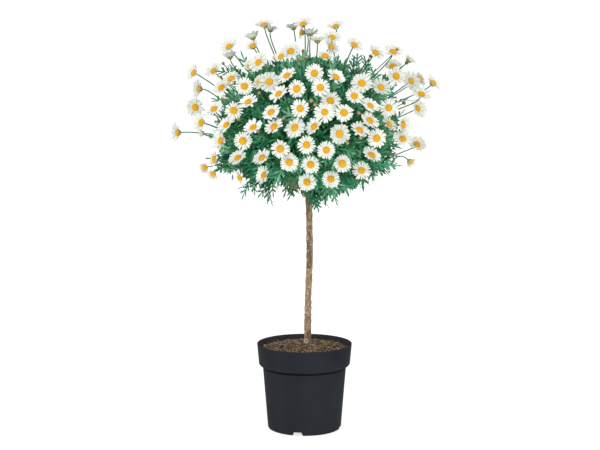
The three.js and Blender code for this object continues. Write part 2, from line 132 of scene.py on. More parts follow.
surround = bpy.data.worlds.new("surround")
surround.use_nodes = True
nodes, links = surround.node_tree.nodes, surround.node_tree.links
soft_light = nodes["Background"]
backdrop = nodes.new("ShaderNodeBackground")
for light, strength in ((soft_light, SURROUND_STRENGTH), (backdrop, BACKDROP_STRENGTH)):
    light.inputs["Color"].default_value = (1, 1, 1, 1)
    light.inputs["Strength"].default_value = strength
either = nodes.new("ShaderNodeMixShader")
links.new(nodes.new("ShaderNodeLightPath").outputs["Is Camera Ray"], either.inputs["Fac"])
links.new(soft_light.outputs["Background"], either.inputs[1])
links.new(backdrop.outputs["Background"], either.inputs[2])
links.new(either.outputs["Shader"], nodes["World Output"].inputs["Surface"])
bpy.context.scene.world = surround
bpy.context.scene.view_settings.view_transform = "Standard"

for name, (place, power) in LAMPS.items():
    lamp = bpy.data.lights.new(name, "AREA")
    lamp.size = LAMP_WIDTH
    lamp.energy = power
    stand = bpy.data.objects.new(name, lamp)
    stand.location = place
    aim = np.array(LAMP_AIM) - place
    stand.rotation_euler = (np.arctan2(np.hypot(*aim[:2]), -aim[2]), 0, np.arctan2(-aim[0], aim[1]))
    bpy.context.scene.collection.objects.link(stand)

floor_paint = new_finish("floor_paint", 0.9, 0.1, (3, 2), {0.3: (176, 176, 176), 0.7: (180, 180, 180)})
glow = floor_paint.node_tree.nodes["Principled BSDF"].inputs
glow["Emission Color"].default_value = (1, 1, 1, 1)
glow["Emission Strength"].default_value = FLOOR_GLOW
corners = FLOOR_HALF_WIDTH * np.array([[-1, -1, 0], [1, -1, 0], [1, 1, 0], [-1, 1, 0]])
floor = put("floor", corners, np.array([[0, 1, 2], [0, 2, 3]]), [floor_paint])


# The pot is a nursery pot, moulded in one from thin black plastic. It has a deep collar with a slanting
# foot, a tapered body, a ring to stand on with four drain notches, a flat middle foot and drain holes.
POT_HEIGHT = 0.172
RIM_RADIUS = 0.095
LIP_WIDTH = 0.0022
COLLAR_FOOT = [0.0912, 0.13]
BODY_TOP = [0.0834, 0.1236]
BODY_FOOT_RADIUS = 0.0734
POT_WALL = 0.0018
BASE_LIFT = 0.007
RING_INSIDE = 0.0672
CENTRE_FOOT_RADIUS = 0.014
CENTRE_FOOT_COLUMNS = 64
NOTCH_TURNS = np.radians(-101 + 90 * np.arange(4))
NOTCH_HALF_WIDTHS = [0.0112, 0.0078]
NOTCH_HEIGHT = 0.0074
DRAIN_HOLES = 8
DRAIN_RADIUS = 0.0045
DRAIN_RING_RADIUS = 0.054
POT_COLUMNS = 240


def unit(vectors):
    """Vectors brought to length 1."""
    return vectors / np.linalg.norm(vectors, axis=-1, keepdims=True)


def full_circle(columns):
    """The turns of so many columns spaced evenly all round."""
    return np.linspace(0, 2 * np.pi, columns, endpoint=False)


def grid(rows, columns, closed=False):
    """Triangles of a grid of points stored row by row, two to a square. A closed grid joins its sides."""
    row, column = np.mgrid[: rows - 1, : columns if closed else columns - 1]
    after = (column + 1) % columns
    this, below = row * columns, (row + 1) * columns
    a, b, c, d = (corner.ravel() for corner in (this + column, this + after, below + after, below + column))
    return np.concatenate([np.stack([a, b, c], -1), np.stack([a, c, d], -1)])


def many(triangles, count, points_each):
    """The triangles of one small shape, for each of its copies whose points follow each other."""
    return (triangles + points_each * np.arange(count)[:, None, None]).reshape(-1, 3)


def rounded(corners, radii, steps=5):
    """A line with its corners rounded: (1 - t)² a + 2t(1 - t) corner + t² b, from a point a that lies
    `radius` before the corner to a point b that lies as far after it."""
    corners = np.asarray(corners, float)
    middle = corners[1:-1]
    radii = np.asarray(radii)[:, None]
    a = middle + radii * unit(corners[:-2] - middle)
    b = middle + radii * unit(corners[2:] - middle)
    t = np.linspace(0, 1, steps)[:, None, None]
    curve = (1 - t) ** 2 * a + 2 * t * (1 - t) * middle + t**2 * b
    return np.concatenate([corners[:1], curve.transpose(1, 0, 2).reshape(-1, 2), corners[-1:]])


def turned(profile, turns):
    """Rings of points: each [radius, height] of the profile carried round the axis through the turns."""
    radius, height = profile[:, :1], profile[:, 1:]
    return np.stack([radius * np.cos(turns), radius * np.sin(turns), height + 0 * turns], -1)


def spun(points, turns):
    """Points turned about the upright axis by each turn a: (x cos a - y sin a, x sin a + y cos a, z)."""
    x, y, z = np.moveaxis(points, -1, 0)
    cos, sin = np.cos(turns)[:, None], np.sin(turns)[:, None]
    return np.stack([x * cos - y * sin, x * sin + y * cos, z + 0 * cos], -1)


def clean(piece):
    """Points that coincide are merged, and faces left without area are removed."""
    mesh = bmesh.new()
    mesh.from_mesh(piece.data)
    bmesh.ops.remove_doubles(mesh, verts=mesh.verts, dist=1e-6)
    bmesh.ops.dissolve_degenerate(mesh, edges=mesh.edges, dist=1e-6)
    bmesh.ops.triangulate(mesh, faces=mesh.faces)
    mesh.to_mesh(piece.data)
    mesh.free()


def holed_floor():
    """The floor's underside round its drain holes: in each sector, a + (b - a) t from the hole's edge a to
    the sector's outline b, walked round in step, and then the holes' own walls."""
    half = np.pi / DRAIN_HOLES
    inner, outer = CENTRE_FOOT_RADIUS, RING_INSIDE
    side = np.linspace(0, 1, 9)[:-1]
    still, outward, across = 0 * side, (outer - inner) * side, 2 * half * side
    radius = np.concatenate([inner + still, inner + outward, outer + still, outer - outward])
    turn = np.concatenate([-half + across, half + still, half - across, -half + still])
    outline = np.stack([radius * np.cos(turn), radius * np.sin(turn)], -1)
    centre = np.array([DRAIN_RING_RADIUS, 0])
    edge = centre + DRAIN_RADIUS * unit(outline - centre)
    t = np.linspace(0, 1, 5)[:, None, None]
    flat = edge + (outline - edge) * t
    rows = np.concatenate([flat[::-1], edge[None]])
    lift = np.full((*rows.shape[:2], 1), BASE_LIFT)
    lift[-1] += POT_WALL
    patch = np.concatenate([rows, lift], -1).reshape(-1, 3)
    points = spun(patch, 2 * half * (np.arange(DRAIN_HOLES) + 0.5))
    return points.reshape(-1, 3), many(grid(*rows.shape[:2], closed=True), DRAIN_HOLES, len(patch))


def foot_lift(turns):
    """How far each notch raises the foot at each turn round the pot: from nothing at its wide foot to its
    full height at its narrower top, along slanting sides."""
    wide, narrow = NOTCH_HALF_WIDTHS
    away = np.abs((turns[:, None] - NOTCH_TURNS + np.pi) % (2 * np.pi) - np.pi).min(1) * BODY_FOOT_RADIUS
    return NOTCH_HEIGHT * np.clip((wide - away) / (wide - narrow), 0, 1)


def body_at(height):
    """The outside of the tapered body at a height, as [radius, height]."""
    return [BODY_FOOT_RADIUS + (BODY_TOP[0] - BODY_FOOT_RADIUS) * height / BODY_TOP[1], height]


def pot_wall():
    """The wall, from the ring's inner side round the foot, up outside, over the lip and down inside."""
    inside = RIM_RADIUS - LIP_WIDTH
    line = rounded(
        [
            [RING_INSIDE - 0.0006, BASE_LIFT],
            [RING_INSIDE, 0],
            [BODY_FOOT_RADIUS, 0],
            body_at(NOTCH_HEIGHT),
            body_at(NOTCH_HEIGHT + 0.0012),
            BODY_TOP,
            [BODY_TOP[0] - 0.0012, BODY_TOP[1] + 0.0005],
            [BODY_TOP[0] - 0.0008, BODY_TOP[1] + 0.0018],
            COLLAR_FOOT,
            [RIM_RADIUS, POT_HEIGHT],
            [inside, POT_HEIGHT],
            [COLLAR_FOOT[0] - POT_WALL, COLLAR_FOOT[1]],
            [BODY_TOP[0] - POT_WALL, BODY_TOP[1]],
            [BODY_FOOT_RADIUS - POT_WALL, BASE_LIFT + POT_WALL],
            [0.001, BASE_LIFT + POT_WALL],
        ],
        [0.0005, 0.004, 0.0003, 0.0003, 0.0005, 0.0004, 0.0005]
        + [0.0028, 0.0009, 0.0009, 0.002, 0.002, 0.002],
    )
    notch_sides = np.outer([-1, 1], NOTCH_HALF_WIDTHS).ravel() / BODY_FOOT_RADIUS
    turns = np.append(full_circle(POT_COLUMNS), NOTCH_TURNS[:, None] + notch_sides)
    turns = np.unique(np.round(turns % (2 * np.pi), 6))
    points = turned(line, turns)
    points[..., 2] = np.maximum(points[..., 2], foot_lift(turns))
    return points.reshape(-1, 3), grid(len(line), len(turns), closed=True)


def centre_foot():
    """The flat foot in the middle of the underside: a low round boss with a rounded edge."""
    line = rounded([[CENTRE_FOOT_RADIUS, BASE_LIFT], [CENTRE_FOOT_RADIUS, 0], [0.0005, 0]], [0.001])
    points = turned(line, full_circle(CENTRE_FOOT_COLUMNS))
    return points.reshape(-1, 3), grid(*points.shape[:2], closed=True)[:, ::-1]


def together(*shapes):
    """The points and triangles of several shapes as those of one."""
    starts = np.cumsum([0] + [len(points) for points, _ in shapes])
    points = np.concatenate([points for points, _ in shapes])
    return points, np.concatenate([triangles + start for (_, triangles), start in zip(shapes, starts)])


black_plastic = new_finish(
    "black_plastic", 0.65, 0.025, (14, 3, 0.6), {0.3: (34, 37, 41), 0.5: (38, 41, 45), 0.7: (41, 44, 48)},
    (0.0001, 1400, 2), (0.0003, 24, 2, 0.3),
)
# A darker plastic for the groove under the collar: painted shadow.
painted_shadow_plastic = new_finish("painted_shadow_plastic", 0.85, 0.03, (90,), {0.3: (14, 15, 17), 0.7: (21, 22, 24)})
# A paler, bluer copy of the plastic for the wall inside the collar: painted light falling on it from above.
painted_light_plastic = new_finish("painted_light_plastic", 0.8, 0.1, (160, 5, 0.4), {0.3: (46, 50, 54), 0.7: (58, 62, 65)})
points, triangles = together(pot_wall(), holed_floor(), centre_foot())
# The groove under the collar is given a darker plastic, a painted shadow, and the wall inside the collar a
# paler, bluer plastic, painted light.
middle = points[triangles].mean(1)
radius = np.hypot(middle[:, 0], middle[:, 1])
height = middle[:, 2]
painted_shadow_groove = (height > BODY_TOP[1]) & (height < COLLAR_FOOT[1] - 0.0012) & (radius > BODY_TOP[0] - 0.0013)
chosen = np.where(painted_shadow_groove, 1, 0)
wall_middle = np.interp(height, [COLLAR_FOOT[1], POT_HEIGHT], [COLLAR_FOOT[0], RIM_RADIUS]) - POT_WALL / 2
# The wall inside the collar, above the soil, takes the painted light.
chosen[(height > COLLAR_FOOT[1]) & (radius < wall_middle - 0.0004)] = 2
pot = put("pot_shell", points, triangles, [black_plastic, painted_shadow_plastic, painted_light_plastic], chosen)
clean(pot)
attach(pot, "root")
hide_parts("pot")


# The potting soil is coarse bark and peat, heaped a little round the trunk. It is a bed with crumbs, shreds
# of fibre and pale chips lying loose on it, and a few green scraps of leaf that have fallen by the rim.
SOIL_EDGE = 0.0916
SOIL_DEPTH = 0.012
SOIL_SHARES = [0, 0.22, 0.45, 0.72, 1]
SOIL_HEIGHTS = [0.1712, 0.1708, 0.168, 0.1632, 0.1592]
SOIL_LUMPS = [(0.0014, 90, 1), (0.0011, 240, 2), (0.0006, 620, 3)]
SOIL_RINGS = 90
SOIL_COLUMNS = 240
CRUMBS = 1500
CRUMB_SIZES = [0.0009, 0.0042]
CRUMB_FLATNESS = 0.8
SHREDS = 420
SHRED_RADIUS = 0.00045
PALE_CHIPS = 150
CHIP_SIZES = [0.0007, 0.0019]
CHIP_FLATNESS = 0.6
GREEN_SCRAPS = 16
SCRAP_RADIUS = 0.0009
BY_RIM = [0.07, 0.086]


def lumps(points, grain, seed=0):
    """Smooth random heights from -1 to 1, `grain` to the metre: random values at the corners of a lattice,
    blended along each axis by s²(3 - 2s), where s runs from 0 to 1 between two corners."""
    place = np.asarray(points) * grain
    cell = np.floor(place).astype(np.int64)
    s = place - cell
    s = s * s * (3 - 2 * s)
    total = np.zeros(place.shape[:-1])
    for corner in np.ndindex(2, 2, 2):
        x, y, z = np.moveaxis(cell + corner, -1, 0)
        key = (x * 73856093) ^ (y * 19349663) ^ (z * 83492791) ^ (seed * 2654435761)
        key = ((key ^ (key >> 13)) * 1274126177) & 0x7FFFFFFF
        value = (key ^ (key >> 15)) % 10007 / 5003 - 1
        total += value * np.prod(np.where(corner, s, 1 - s), axis=-1)
    return total


def lumps_added(points, layers):
    """Layers of lumps added up: each has its height in metres, its grain and its seed."""
    return sum(height * lumps(points, grain, seed) for height, grain, seed in layers)


def soil_height(x, y):
    """The bed's height: its profile over the distance from the axis, with three sizes of lumps added."""
    profile = np.interp(np.hypot(x, y) / SOIL_EDGE, SOIL_SHARES, SOIL_HEIGHTS)
    return profile + lumps_added(np.stack([x, y, 0 * x], -1), SOIL_LUMPS)


def soil_bed():
    """The bed: rings out to the wall, and then a short skirt down it that closes underneath on the axis."""
    radius = np.concatenate([[0.0004], np.linspace(0.002, SOIL_EDGE, SOIL_RINGS), [SOIL_EDGE, 0.0004]])
    turns = full_circle(SOIL_COLUMNS)
    x, y = radius[:, None] * np.cos(turns), radius[:, None] * np.sin(turns)
    z = soil_height(x, y)
    z[-2:] = SOIL_HEIGHTS[-1] - SOIL_DEPTH
    return np.stack([x, y, z], -1).reshape(-1, 3), grid(len(radius), SOIL_COLUMNS, closed=True)[:, ::-1]


def scattered(draw, count, inner=0.012, outer=0.0895):
    """Places on the bed, spread evenly over its area between two distances from the axis."""
    radius = np.sqrt(draw.uniform(inner**2, outer**2, count))
    turn = draw.uniform(0, 2 * np.pi, count)
    x, y = radius * np.cos(turn), radius * np.sin(turn)
    return np.stack([x, y, soil_height(x, y)], -1)


def crumb_shape():
    """A ball of 20 triangles, its corners (0, ±1, ±p), (±1, ±p, 0) and (±p, 0, ±1), p the golden ratio."""
    ball = bmesh.new()
    bmesh.ops.create_icosphere(ball, subdivisions=1, radius=1)
    points = np.array([v.co for v in ball.verts])
    triangles = np.array([[v.index for v in face.verts] for face in ball.faces])
    ball.free()
    return points, triangles


def crumbs(draw, places, sizes, flat):
    """Lumpy balls at the places, each with its own half-widths and turn, its corners pushed in or out."""
    points, triangles = crumb_shape()
    count = len(places)
    size = sizes[0] + (sizes[1] - sizes[0]) * draw.uniform(0, 1, (count, 1, 1)) ** 2
    widths = size * draw.uniform([0.6, 0.6, 0.4 * flat], [1.3, 1.0, 0.9 * flat], (count, 1, 3))
    lumpy = points * widths * draw.uniform(0.75, 1.2, (count, len(points), 1))
    laid = spun(lumpy, draw.uniform(0, 2 * np.pi, count)) + places[:, None]
    return laid.reshape(-1, 3), many(triangles, count, len(points))


def curve(control, steps):
    """Cubic curves, each from its four points a, b, c, d: (1-t)³a + 3(1-t)²t b + 3(1-t)t²c + t³d."""
    t = np.linspace(0, 1, steps)[:, None]
    a, b, c, d = (control[:, i, None] for i in range(4))
    return (1 - t) ** 3 * a + 3 * (1 - t) ** 2 * t * b + 3 * (1 - t) * t**2 * c + t**3 * d


def tube(rows, columns):
    """Triangles of a closed tube: rings of points one after the other, then the middles of its two ends."""
    column = np.arange(columns)
    after = (column + 1) % columns
    last = (rows - 1) * columns
    foot = np.stack([0 * column + rows * columns, after, column], -1)
    tip = np.stack([0 * column + rows * columns + 1, last + column, last + after], -1)
    return np.concatenate([grid(rows, columns, closed=True), foot, tip])


def rods(lines, thin, sides):
    """A round rod along each line, with the radii in `thin`, closed by a point at each end. Each ring lies
    across its line: centre + radius (cos a × side + sin a × other)."""
    along = unit(np.gradient(lines, axis=1))
    level = np.where(np.abs(along.mean(1, keepdims=True)[..., 2:]) > 0.8, [1.0, 0.3, 0], [0, 0.2, 1.0])
    side = unit(np.cross(along, level))
    other = np.cross(along, side)
    turns = full_circle(sides)[:, None]
    radius = np.broadcast_to(thin, lines.shape[:2])[..., None, None]
    ring = radius * (np.cos(turns) * side[:, :, None] + np.sin(turns) * other[:, :, None])
    count, steps = lines.shape[:2]
    walls = (lines[:, :, None] + ring).reshape(count, steps * sides, 3)
    points = np.concatenate([walls, lines[:, :1], lines[:, -1:]], 1)
    return points.reshape(-1, 3), many(tube(steps, sides)[:, ::-1], count, steps * sides + 2)


def shreds(draw, places, thin):
    """Thin bent fibres on the bed: each runs one way on the level and bows up a little in its middle."""
    count = len(places)
    turn = draw.uniform(0, 2 * np.pi, count)
    length = draw.uniform(0.004, 0.013, (count, 1))
    way = length * np.stack([np.cos(turn), np.sin(turn), draw.uniform(-0.25, 0.35, count)], -1)
    bow = draw.normal(0, 0.0016, (count, 2, 3)) + [0, 0, 0.0012]
    start = places + [0, 0, 0.0008]
    middle = [start + way / 3 + bow[:, 0], start + 2 * way / 3 + bow[:, 1]]
    control = np.stack([start, *middle, start + way], 1)
    control[..., 2] = np.maximum(control[..., 2], soil_height(control[..., 0], control[..., 1]) + 0.0004)
    inside = np.hypot(control[..., 0], control[..., 1]).max(1) < SOIL_EDGE - 0.002
    lines = curve(control[inside], 5)
    return rods(lines, thin * np.array([0.6, 1, 1, 0.9, 0.5]), 4)


peat = new_finish(
    "peat", 0.95, 0.12, (170, 6), {0.34: (24, 18, 14), 0.5: (80, 65, 53), 0.64: (138, 114, 94)},
    (0.0009, 900, 4),
)
bark_crumb = new_finish(
    "bark_crumb", 0.9, 0.15, (170, 5), {0.36: (38, 28, 23), 0.5: (104, 86, 71), 0.64: (182, 158, 134)},
    (0.0005, 1200, 3),
)
pale_fibre = new_finish("pale_fibre", 0.85, 0.2, (140,), {0.35: (96, 74, 56), 0.6: (176, 150, 120)})
chip_pale = new_finish("chip_pale", 0.8, 0.2, (300,), {0.35: (176, 152, 124), 0.65: (226, 212, 190)})
fallen_leaf = new_finish("fallen_leaf", 0.6, 0.3, (200,), {0.35: (96, 112, 52), 0.65: (158, 160, 84)})

draw = np.random.default_rng(7)
bed = put("soil_bed", *soil_bed(), [peat])
clean(bed)
crumb_shapes = crumbs(draw, scattered(draw, CRUMBS), CRUMB_SIZES, CRUMB_FLATNESS)
fibre_shapes = shreds(draw, scattered(draw, SHREDS), SHRED_RADIUS)
chip_shapes = crumbs(draw, scattered(draw, PALE_CHIPS), CHIP_SIZES, CHIP_FLATNESS)
by_rim = scattered(draw, GREEN_SCRAPS, *BY_RIM)
by_rim[:, 0] = np.abs(by_rim[:, 0])
by_rim[:, 2] = soil_height(by_rim[:, 0], by_rim[:, 1])
for piece in (
    bed,
    put("soil_crumbs", *crumb_shapes, [bark_crumb], smooth=False),
    put("soil_fibre", *fibre_shapes, [pale_fibre]),
    put("soil_chips", *chip_shapes, [chip_pale], smooth=False),
    put("soil_green", *shreds(draw, by_rim, SCRAP_RADIUS), [fallen_leaf]),
):
    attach(piece, "root")
    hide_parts("potting_soil")


# The trunk is one bare woody stem, grown from the young plant's leader. Its grey-brown bark is ridged along
# its length, with pale rings and scars where leaves and side shoots were cut, the largest near its foot.
TRUNK_HEIGHTS = [0.15, 0.205, 0.263, 0.343, 0.43, 0.5, 0.612]
TRUNK_X = [0.0063, 0.0066, 0.0074, 0.0102, 0.0092, 0.0074, 0.007]
TRUNK_Y = [0, 0.0005, 0.001, 0, -0.001, 0, 0]
TRUNK_FOOT = 0.16
TRUNK_TIP = 0.612
TRUNK_RADIUS = 0.0062
TRUNK_TIP_RADIUS = 0.0032
FLARE = 0.002
FLARE_HEIGHT = 0.016
NODE_SPACING = 0.027
NODE_SWELL = 0.0005
THINS_FROM = 0.475
# Each scar's height in metres, and its turn round the trunk in degrees.
SCAR = np.array([(0.177, -116)])
SCAR_RADIUS = 0.0046
SMALL_SCARS = np.array([
    (0.412, -95), (0.4, -63), (0.383, -127), (0.371, -80), (0.359, -118), (0.341, -150),
    (0.3215, -104), (0.309, -130), (0.2977, -165), (0.2858, -90), (0.2725, -112), (0.2639, -155),
    (0.251, -85), (0.243, -140), (0.234, -117), (0.222, -160), (0.209, -95), (0.196, -128),
    (0.43, -140), (0.345, 20), (0.31, 75), (0.25, 40), (0.2, 110),
])
SMALL_SCAR_RADIUS = 0.0017
SCAR_HOLLOW = 0.0016
SCAR_DEPTH = 0.0022
SCAR_RIM_HEIGHT = 0.0014
SCAR_RISE = 0.0007
NODE_RIM_HEIGHT = 0.0006
RIDGES = [(0.00042, 520, 5), (0.00026, 1100, 6)]
OLD_BARK_FROM = 0.36
TRUNK_ROWS = 460
TRUNK_COLUMNS = 72


def direction(azimuth, rise):
    """A direction whose height share is `rise`, the sine of its lean above the level."""
    level = np.sqrt(1 - rise**2)
    return np.stack([level * np.cos(azimuth), level * np.sin(azimuth), rise + 0 * azimuth], -1)


def on_trunk(height):
    """The middle of the trunk at each height: a cubic through the known points, each with the slope of the
    line between its two neighbours."""
    height = np.asarray(height)
    known = np.array(TRUNK_HEIGHTS)
    values = np.stack([TRUNK_X, TRUNK_Y], -1)
    slope = np.gradient(values, known, axis=0)
    i = np.clip(np.searchsorted(known, height) - 1, 0, len(known) - 2)
    gap = (known[i + 1] - known[i])[..., None]
    t = np.clip((height - known[i])[..., None] / gap, 0, 1)
    start = values[i] * (1 + 2 * t) + slope[i] * gap * t
    end = values[i + 1] * (3 - 2 * t) - slope[i + 1] * gap * (1 - t)
    return np.concatenate([start * (1 - t) ** 2 + end * t**2, height[..., None]], -1)


def trunk_radius(height):
    """A flare that dies away from the soil, small swellings at the nodes, and a thinner tip."""
    flare = FLARE * np.exp(-(height - SOIL_HEIGHTS[0]) / FLARE_HEIGHT)
    node = NODE_SWELL * np.maximum(0, np.cos(2 * np.pi * height / NODE_SPACING)) ** 4
    s = np.clip((height - THINS_FROM) / (TRUNK_TIP - THINS_FROM), 0, 1)
    s = s * s * (3 - 2 * s)
    return (1 - s) * (TRUNK_RADIUS + np.minimum(flare, FLARE) + node) + s * TRUNK_TIP_RADIUS


def bark_distance(points, scars):
    """How far each point of the bark lies from the nearest of the scars."""
    height, turn = scars.T
    places = on_trunk(height) + trunk_radius(height)[..., None] * direction(np.radians(turn), 0)
    return np.linalg.norm(points[..., None, :] - places, axis=-1).min(-1)


def trunk_bark():
    """The bark: rings round the trunk's line whose radius has ridges, knots, node rims and the scars."""
    height = np.linspace(TRUNK_FOOT, TRUNK_TIP, TRUNK_ROWS)[:, None]
    turns = full_circle(TRUNK_COLUMNS)
    level = direction(turns, 0)
    ring = trunk_radius(height)[..., None] * level
    ridges = lumps_added(ring + [0, 0, 0.22] * height[..., None], RIDGES)
    whole = ring + [0, 0, 1] * height[..., None]
    knots = 0.00055 * np.maximum(0, lumps(whole, 150, 8) - 0.25) + 0.0005 * lumps(whole, 60, 9)
    off_node = height % NODE_SPACING / NODE_SPACING - 0.5 - 0.1 * np.sin(turns + 40 * height)
    rim = NODE_RIM_HEIGHT * np.exp(-((off_node / 0.05) ** 2))
    radius = trunk_radius(height) + ridges + knots + rim * (lumps(whole, 70, 11) > -0.1)
    points = on_trunk(height[:, 0])[:, None] + radius[..., None] * level
    away = bark_distance(points, SCAR)
    small = bark_distance(points, SMALL_SCARS)
    raised = SCAR_RIM_HEIGHT * np.exp(-(((away - SCAR_RADIUS * 0.78) / 0.0012) ** 2))
    raised += SCAR_RISE * (away < SCAR_RADIUS)
    raised += SCAR_RISE * np.exp(-((small / SMALL_SCAR_RADIUS) ** 2))
    raised -= SCAR_DEPTH * np.exp(-((away / SCAR_HOLLOW) ** 2))
    points += raised[..., None] * level
    ends = on_trunk([TRUNK_FOOT, TRUNK_TIP])
    return np.concatenate([points.reshape(-1, 3), ends]), tube(TRUNK_ROWS, TRUNK_COLUMNS)


def bark_finish(name, dark, middle, pale):
    """Ridged bark: a pattern drawn out along the trunk, with a finer one for its cracks."""
    stops = {0.28: dark, 0.5: middle, 0.72: pale}
    ridges, cracks = (0.0005, 1100, 4, 0.15), (0.0002, 2600, 3, 0.6)
    return new_finish(name, 0.85, 0.2, (380, 6, 0.3), stops, ridges, cracks)


grey_bark = bark_finish("grey_bark", (96, 77, 57), (150, 127, 101), (190, 166, 138))
scar_bark = bark_finish("scar_bark", (140, 122, 100), (190, 172, 148), (222, 208, 186))
dark_bark = bark_finish("dark_bark", (46, 36, 28), (74, 58, 44), (104, 86, 66))
old_bark = bark_finish("old_bark", (74, 58, 44), (118, 98, 78), (158, 136, 112))
points, triangles = trunk_bark()
middle = points[triangles].mean(1)
patches = lumps(middle * [1, 1, 0.3], 90, 13) + 3 * (middle[:, 2] - OLD_BARK_FROM)
ragged = 0.0006 * lumps(middle, 900, 12)
away = bark_distance(middle, SCAR) + ragged
small = bark_distance(middle, SMALL_SCARS) + ragged
chosen = np.where(patches > 0.1, 3, 0)
chosen[(away < SCAR_RADIUS * 1.1) | (small < SMALL_SCAR_RADIUS)] = 1
chosen[away < SCAR_HOLLOW] = 2
trunk = put("trunk_bark", points, triangles, [grey_bark, scar_bark, dark_bark, old_bark], chosen)
clean(trunk)
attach(trunk, "root")
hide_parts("trunk")


# The boughs rise from the top of the trunk in two tiers and carry the head. Each is a woody side shoot with
# thin brown bark, and divides inside its share of the head into branches, and these into green shoots.
HEAD_CENTRE = np.array([0.007, 0, 0.597])
LEAF_REACH = [0.148, 0.11, 0.118]
SHOULDER_POWER = 2.3
HEART_SHARE = 0.6
BOUGH_STAGGER = 0.012
BOUGH_TIERS = {
    "lower": {"count": 6, "tilt": -5, "turn": 18, "root": 0.466, "tip": (0.041, 0.516)},
    "upper": {"count": 4, "tilt": 42, "turn": 45, "root": 0.506, "tip": (0.027, 0.586)},
}
BOUGH_RADII = [0.0042, 0.0028]
STEM_RADII = [0.0028, 0.0021]
BRANCH_RADII = [0.0019, 0.0013]
SHOOT_RADII = [0.0013, 0.0007]
SHOOT_STEPS = 9
FORKS = 78
LOWEST_FORK = -0.8
FORK_SHARES = [0.68, 0.78]
GOLDEN_ANGLE = np.pi * (3 - 5**0.5)
LEAFY_SHOOTS = 300
LOWEST_SHOOT = -0.86
HANGING_SHOOTS = 52
HANGING_RADII = [0.02, 0.155]
HANGING_DEPTHS = [0.122, 0.066]
SHOOT_SHARES = [0.74, 1.08]
SHOOT_UNEVEN = 0.11
SHOOT_LIFT = 0.8
CROWN_NODES = ["crown_top"]
for tier, sizes in BOUGH_TIERS.items():
    CROWN_NODES += [f"crown_{tier}_{i + 1}" for i in range(sizes["count"])]


def half_widths(reach, upward):
    """The half-widths of a flattened ball: its reach is to the side, up from its middle and down from it."""
    side = np.full(np.shape(upward), reach[0])
    return np.stack([side, side, np.where(upward, reach[1], reach[2])], -1)


def surface_point(toward, reach, share=1.0):
    """A point of the leaf or flower surface: the head's centre + share × half-width × direction."""
    share = np.asarray(share)[..., None]
    return HEAD_CENTRE + share * toward * half_widths(reach, toward[..., 2] > 0)


def full_shoulders(toward):
    """How far a direction's reach grows so that the dome is flatter than a ball: (h^p + v^p)^(-1/p), where h
    and v are its level and upright shares. Below the middle it stays 1."""
    level = np.linalg.norm(toward[..., :2], axis=-1)
    upright = np.maximum(toward[..., 2], 0)
    grown = (level**SHOULDER_POWER + upright**SHOULDER_POWER) ** (-1 / SHOULDER_POWER)
    return np.where(toward[..., 2] > 0, grown, 1)


def even_directions(count, lowest):
    """Directions spaced evenly over the head, from straight up to the lowest, a golden angle apart."""
    i = np.arange(count)
    return direction(i * GOLDEN_ANGLE, 1 + (lowest - 1) * (i + 0.5) / count)


def nearest(places, points):
    """The number of the nearest of the places to each point."""
    return np.linalg.norm(points[:, None] - places, axis=-1).argmin(1)


def bending(draw, start, end, bow):
    """Four points for each curve from start to end, swung aside at random by up to `bow` of its length."""
    run = end - start
    length = np.linalg.norm(run, axis=-1, keepdims=True)
    swing = draw.uniform(-bow, bow, (2, len(run), 3)) * length
    return np.stack([start, start + 0.35 * run + swing[0], start + 0.65 * run + 0.5 * swing[1], end], 1)


def arriving(lines, ways, share):
    """Curves led into their ends along the given ways: the third point is end - share × length × way."""
    length = np.linalg.norm(lines[:, 3] - lines[:, 0], axis=-1, keepdims=True)
    return np.stack([lines[:, 0], lines[:, 1], lines[:, 3] - share * length * ways, lines[:, 3]], 1)


def tapered(lines, radii, sides):
    """Rods along the lines that thin evenly from the first radius to the second."""
    return rods(lines, np.linspace(*radii, lines.shape[1]), sides)


def part_of_head(piece):
    """Leaves, flowers and their twigs stand for the head's masses: the piece hangs from the root's body, and
    the head's own parts are hidden.
    """
    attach(piece, "root")
    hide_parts(*CROWN_NODES)


draw = np.random.default_rng(11)
boughs = {}
hearts = [surface_point(np.array([0, 0, 1.0]), LEAF_REACH, HEART_SHARE)]
for tier, sizes in BOUGH_TIERS.items():
    for i in range(sizes["count"]):
        azimuth = np.radians(sizes["turn"] + 360 * i / sizes["count"])
        level = direction(azimuth, 0)
        reach, height = sizes["tip"]
        start = on_trunk(sizes["root"] + i % 2 * BOUGH_STAGGER)
        end = np.array([*HEAD_CENTRE[:2], height]) + reach * level
        middle = (start + end) / 2 + 0.003 * level - [0, 0, 0.004]
        boughs[f"bough_{tier}_{i + 1}"] = [start, (start + 2 * middle) / 3, (end + 2 * middle) / 3, end]
        toward = direction(azimuth, np.sin(np.radians(sizes["tilt"])))
        hearts.append(surface_point(toward, LEAF_REACH, HEART_SHARE))
hearts = np.array(hearts)

bough_bark = bark_finish("bough_bark", (70, 52, 32), (122, 98, 66), (164, 140, 104))
for name, line in boughs.items():
    lines = curve(np.array([line]), 24)
    wood = lines + 0.0005 * lumps(lines, 120, 3)[..., None]
    bough = put(name.replace("bough", "limb"), *tapered(wood, BOUGH_RADII, 16), [bough_bark])
    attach(bough, "root")
    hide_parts(name)

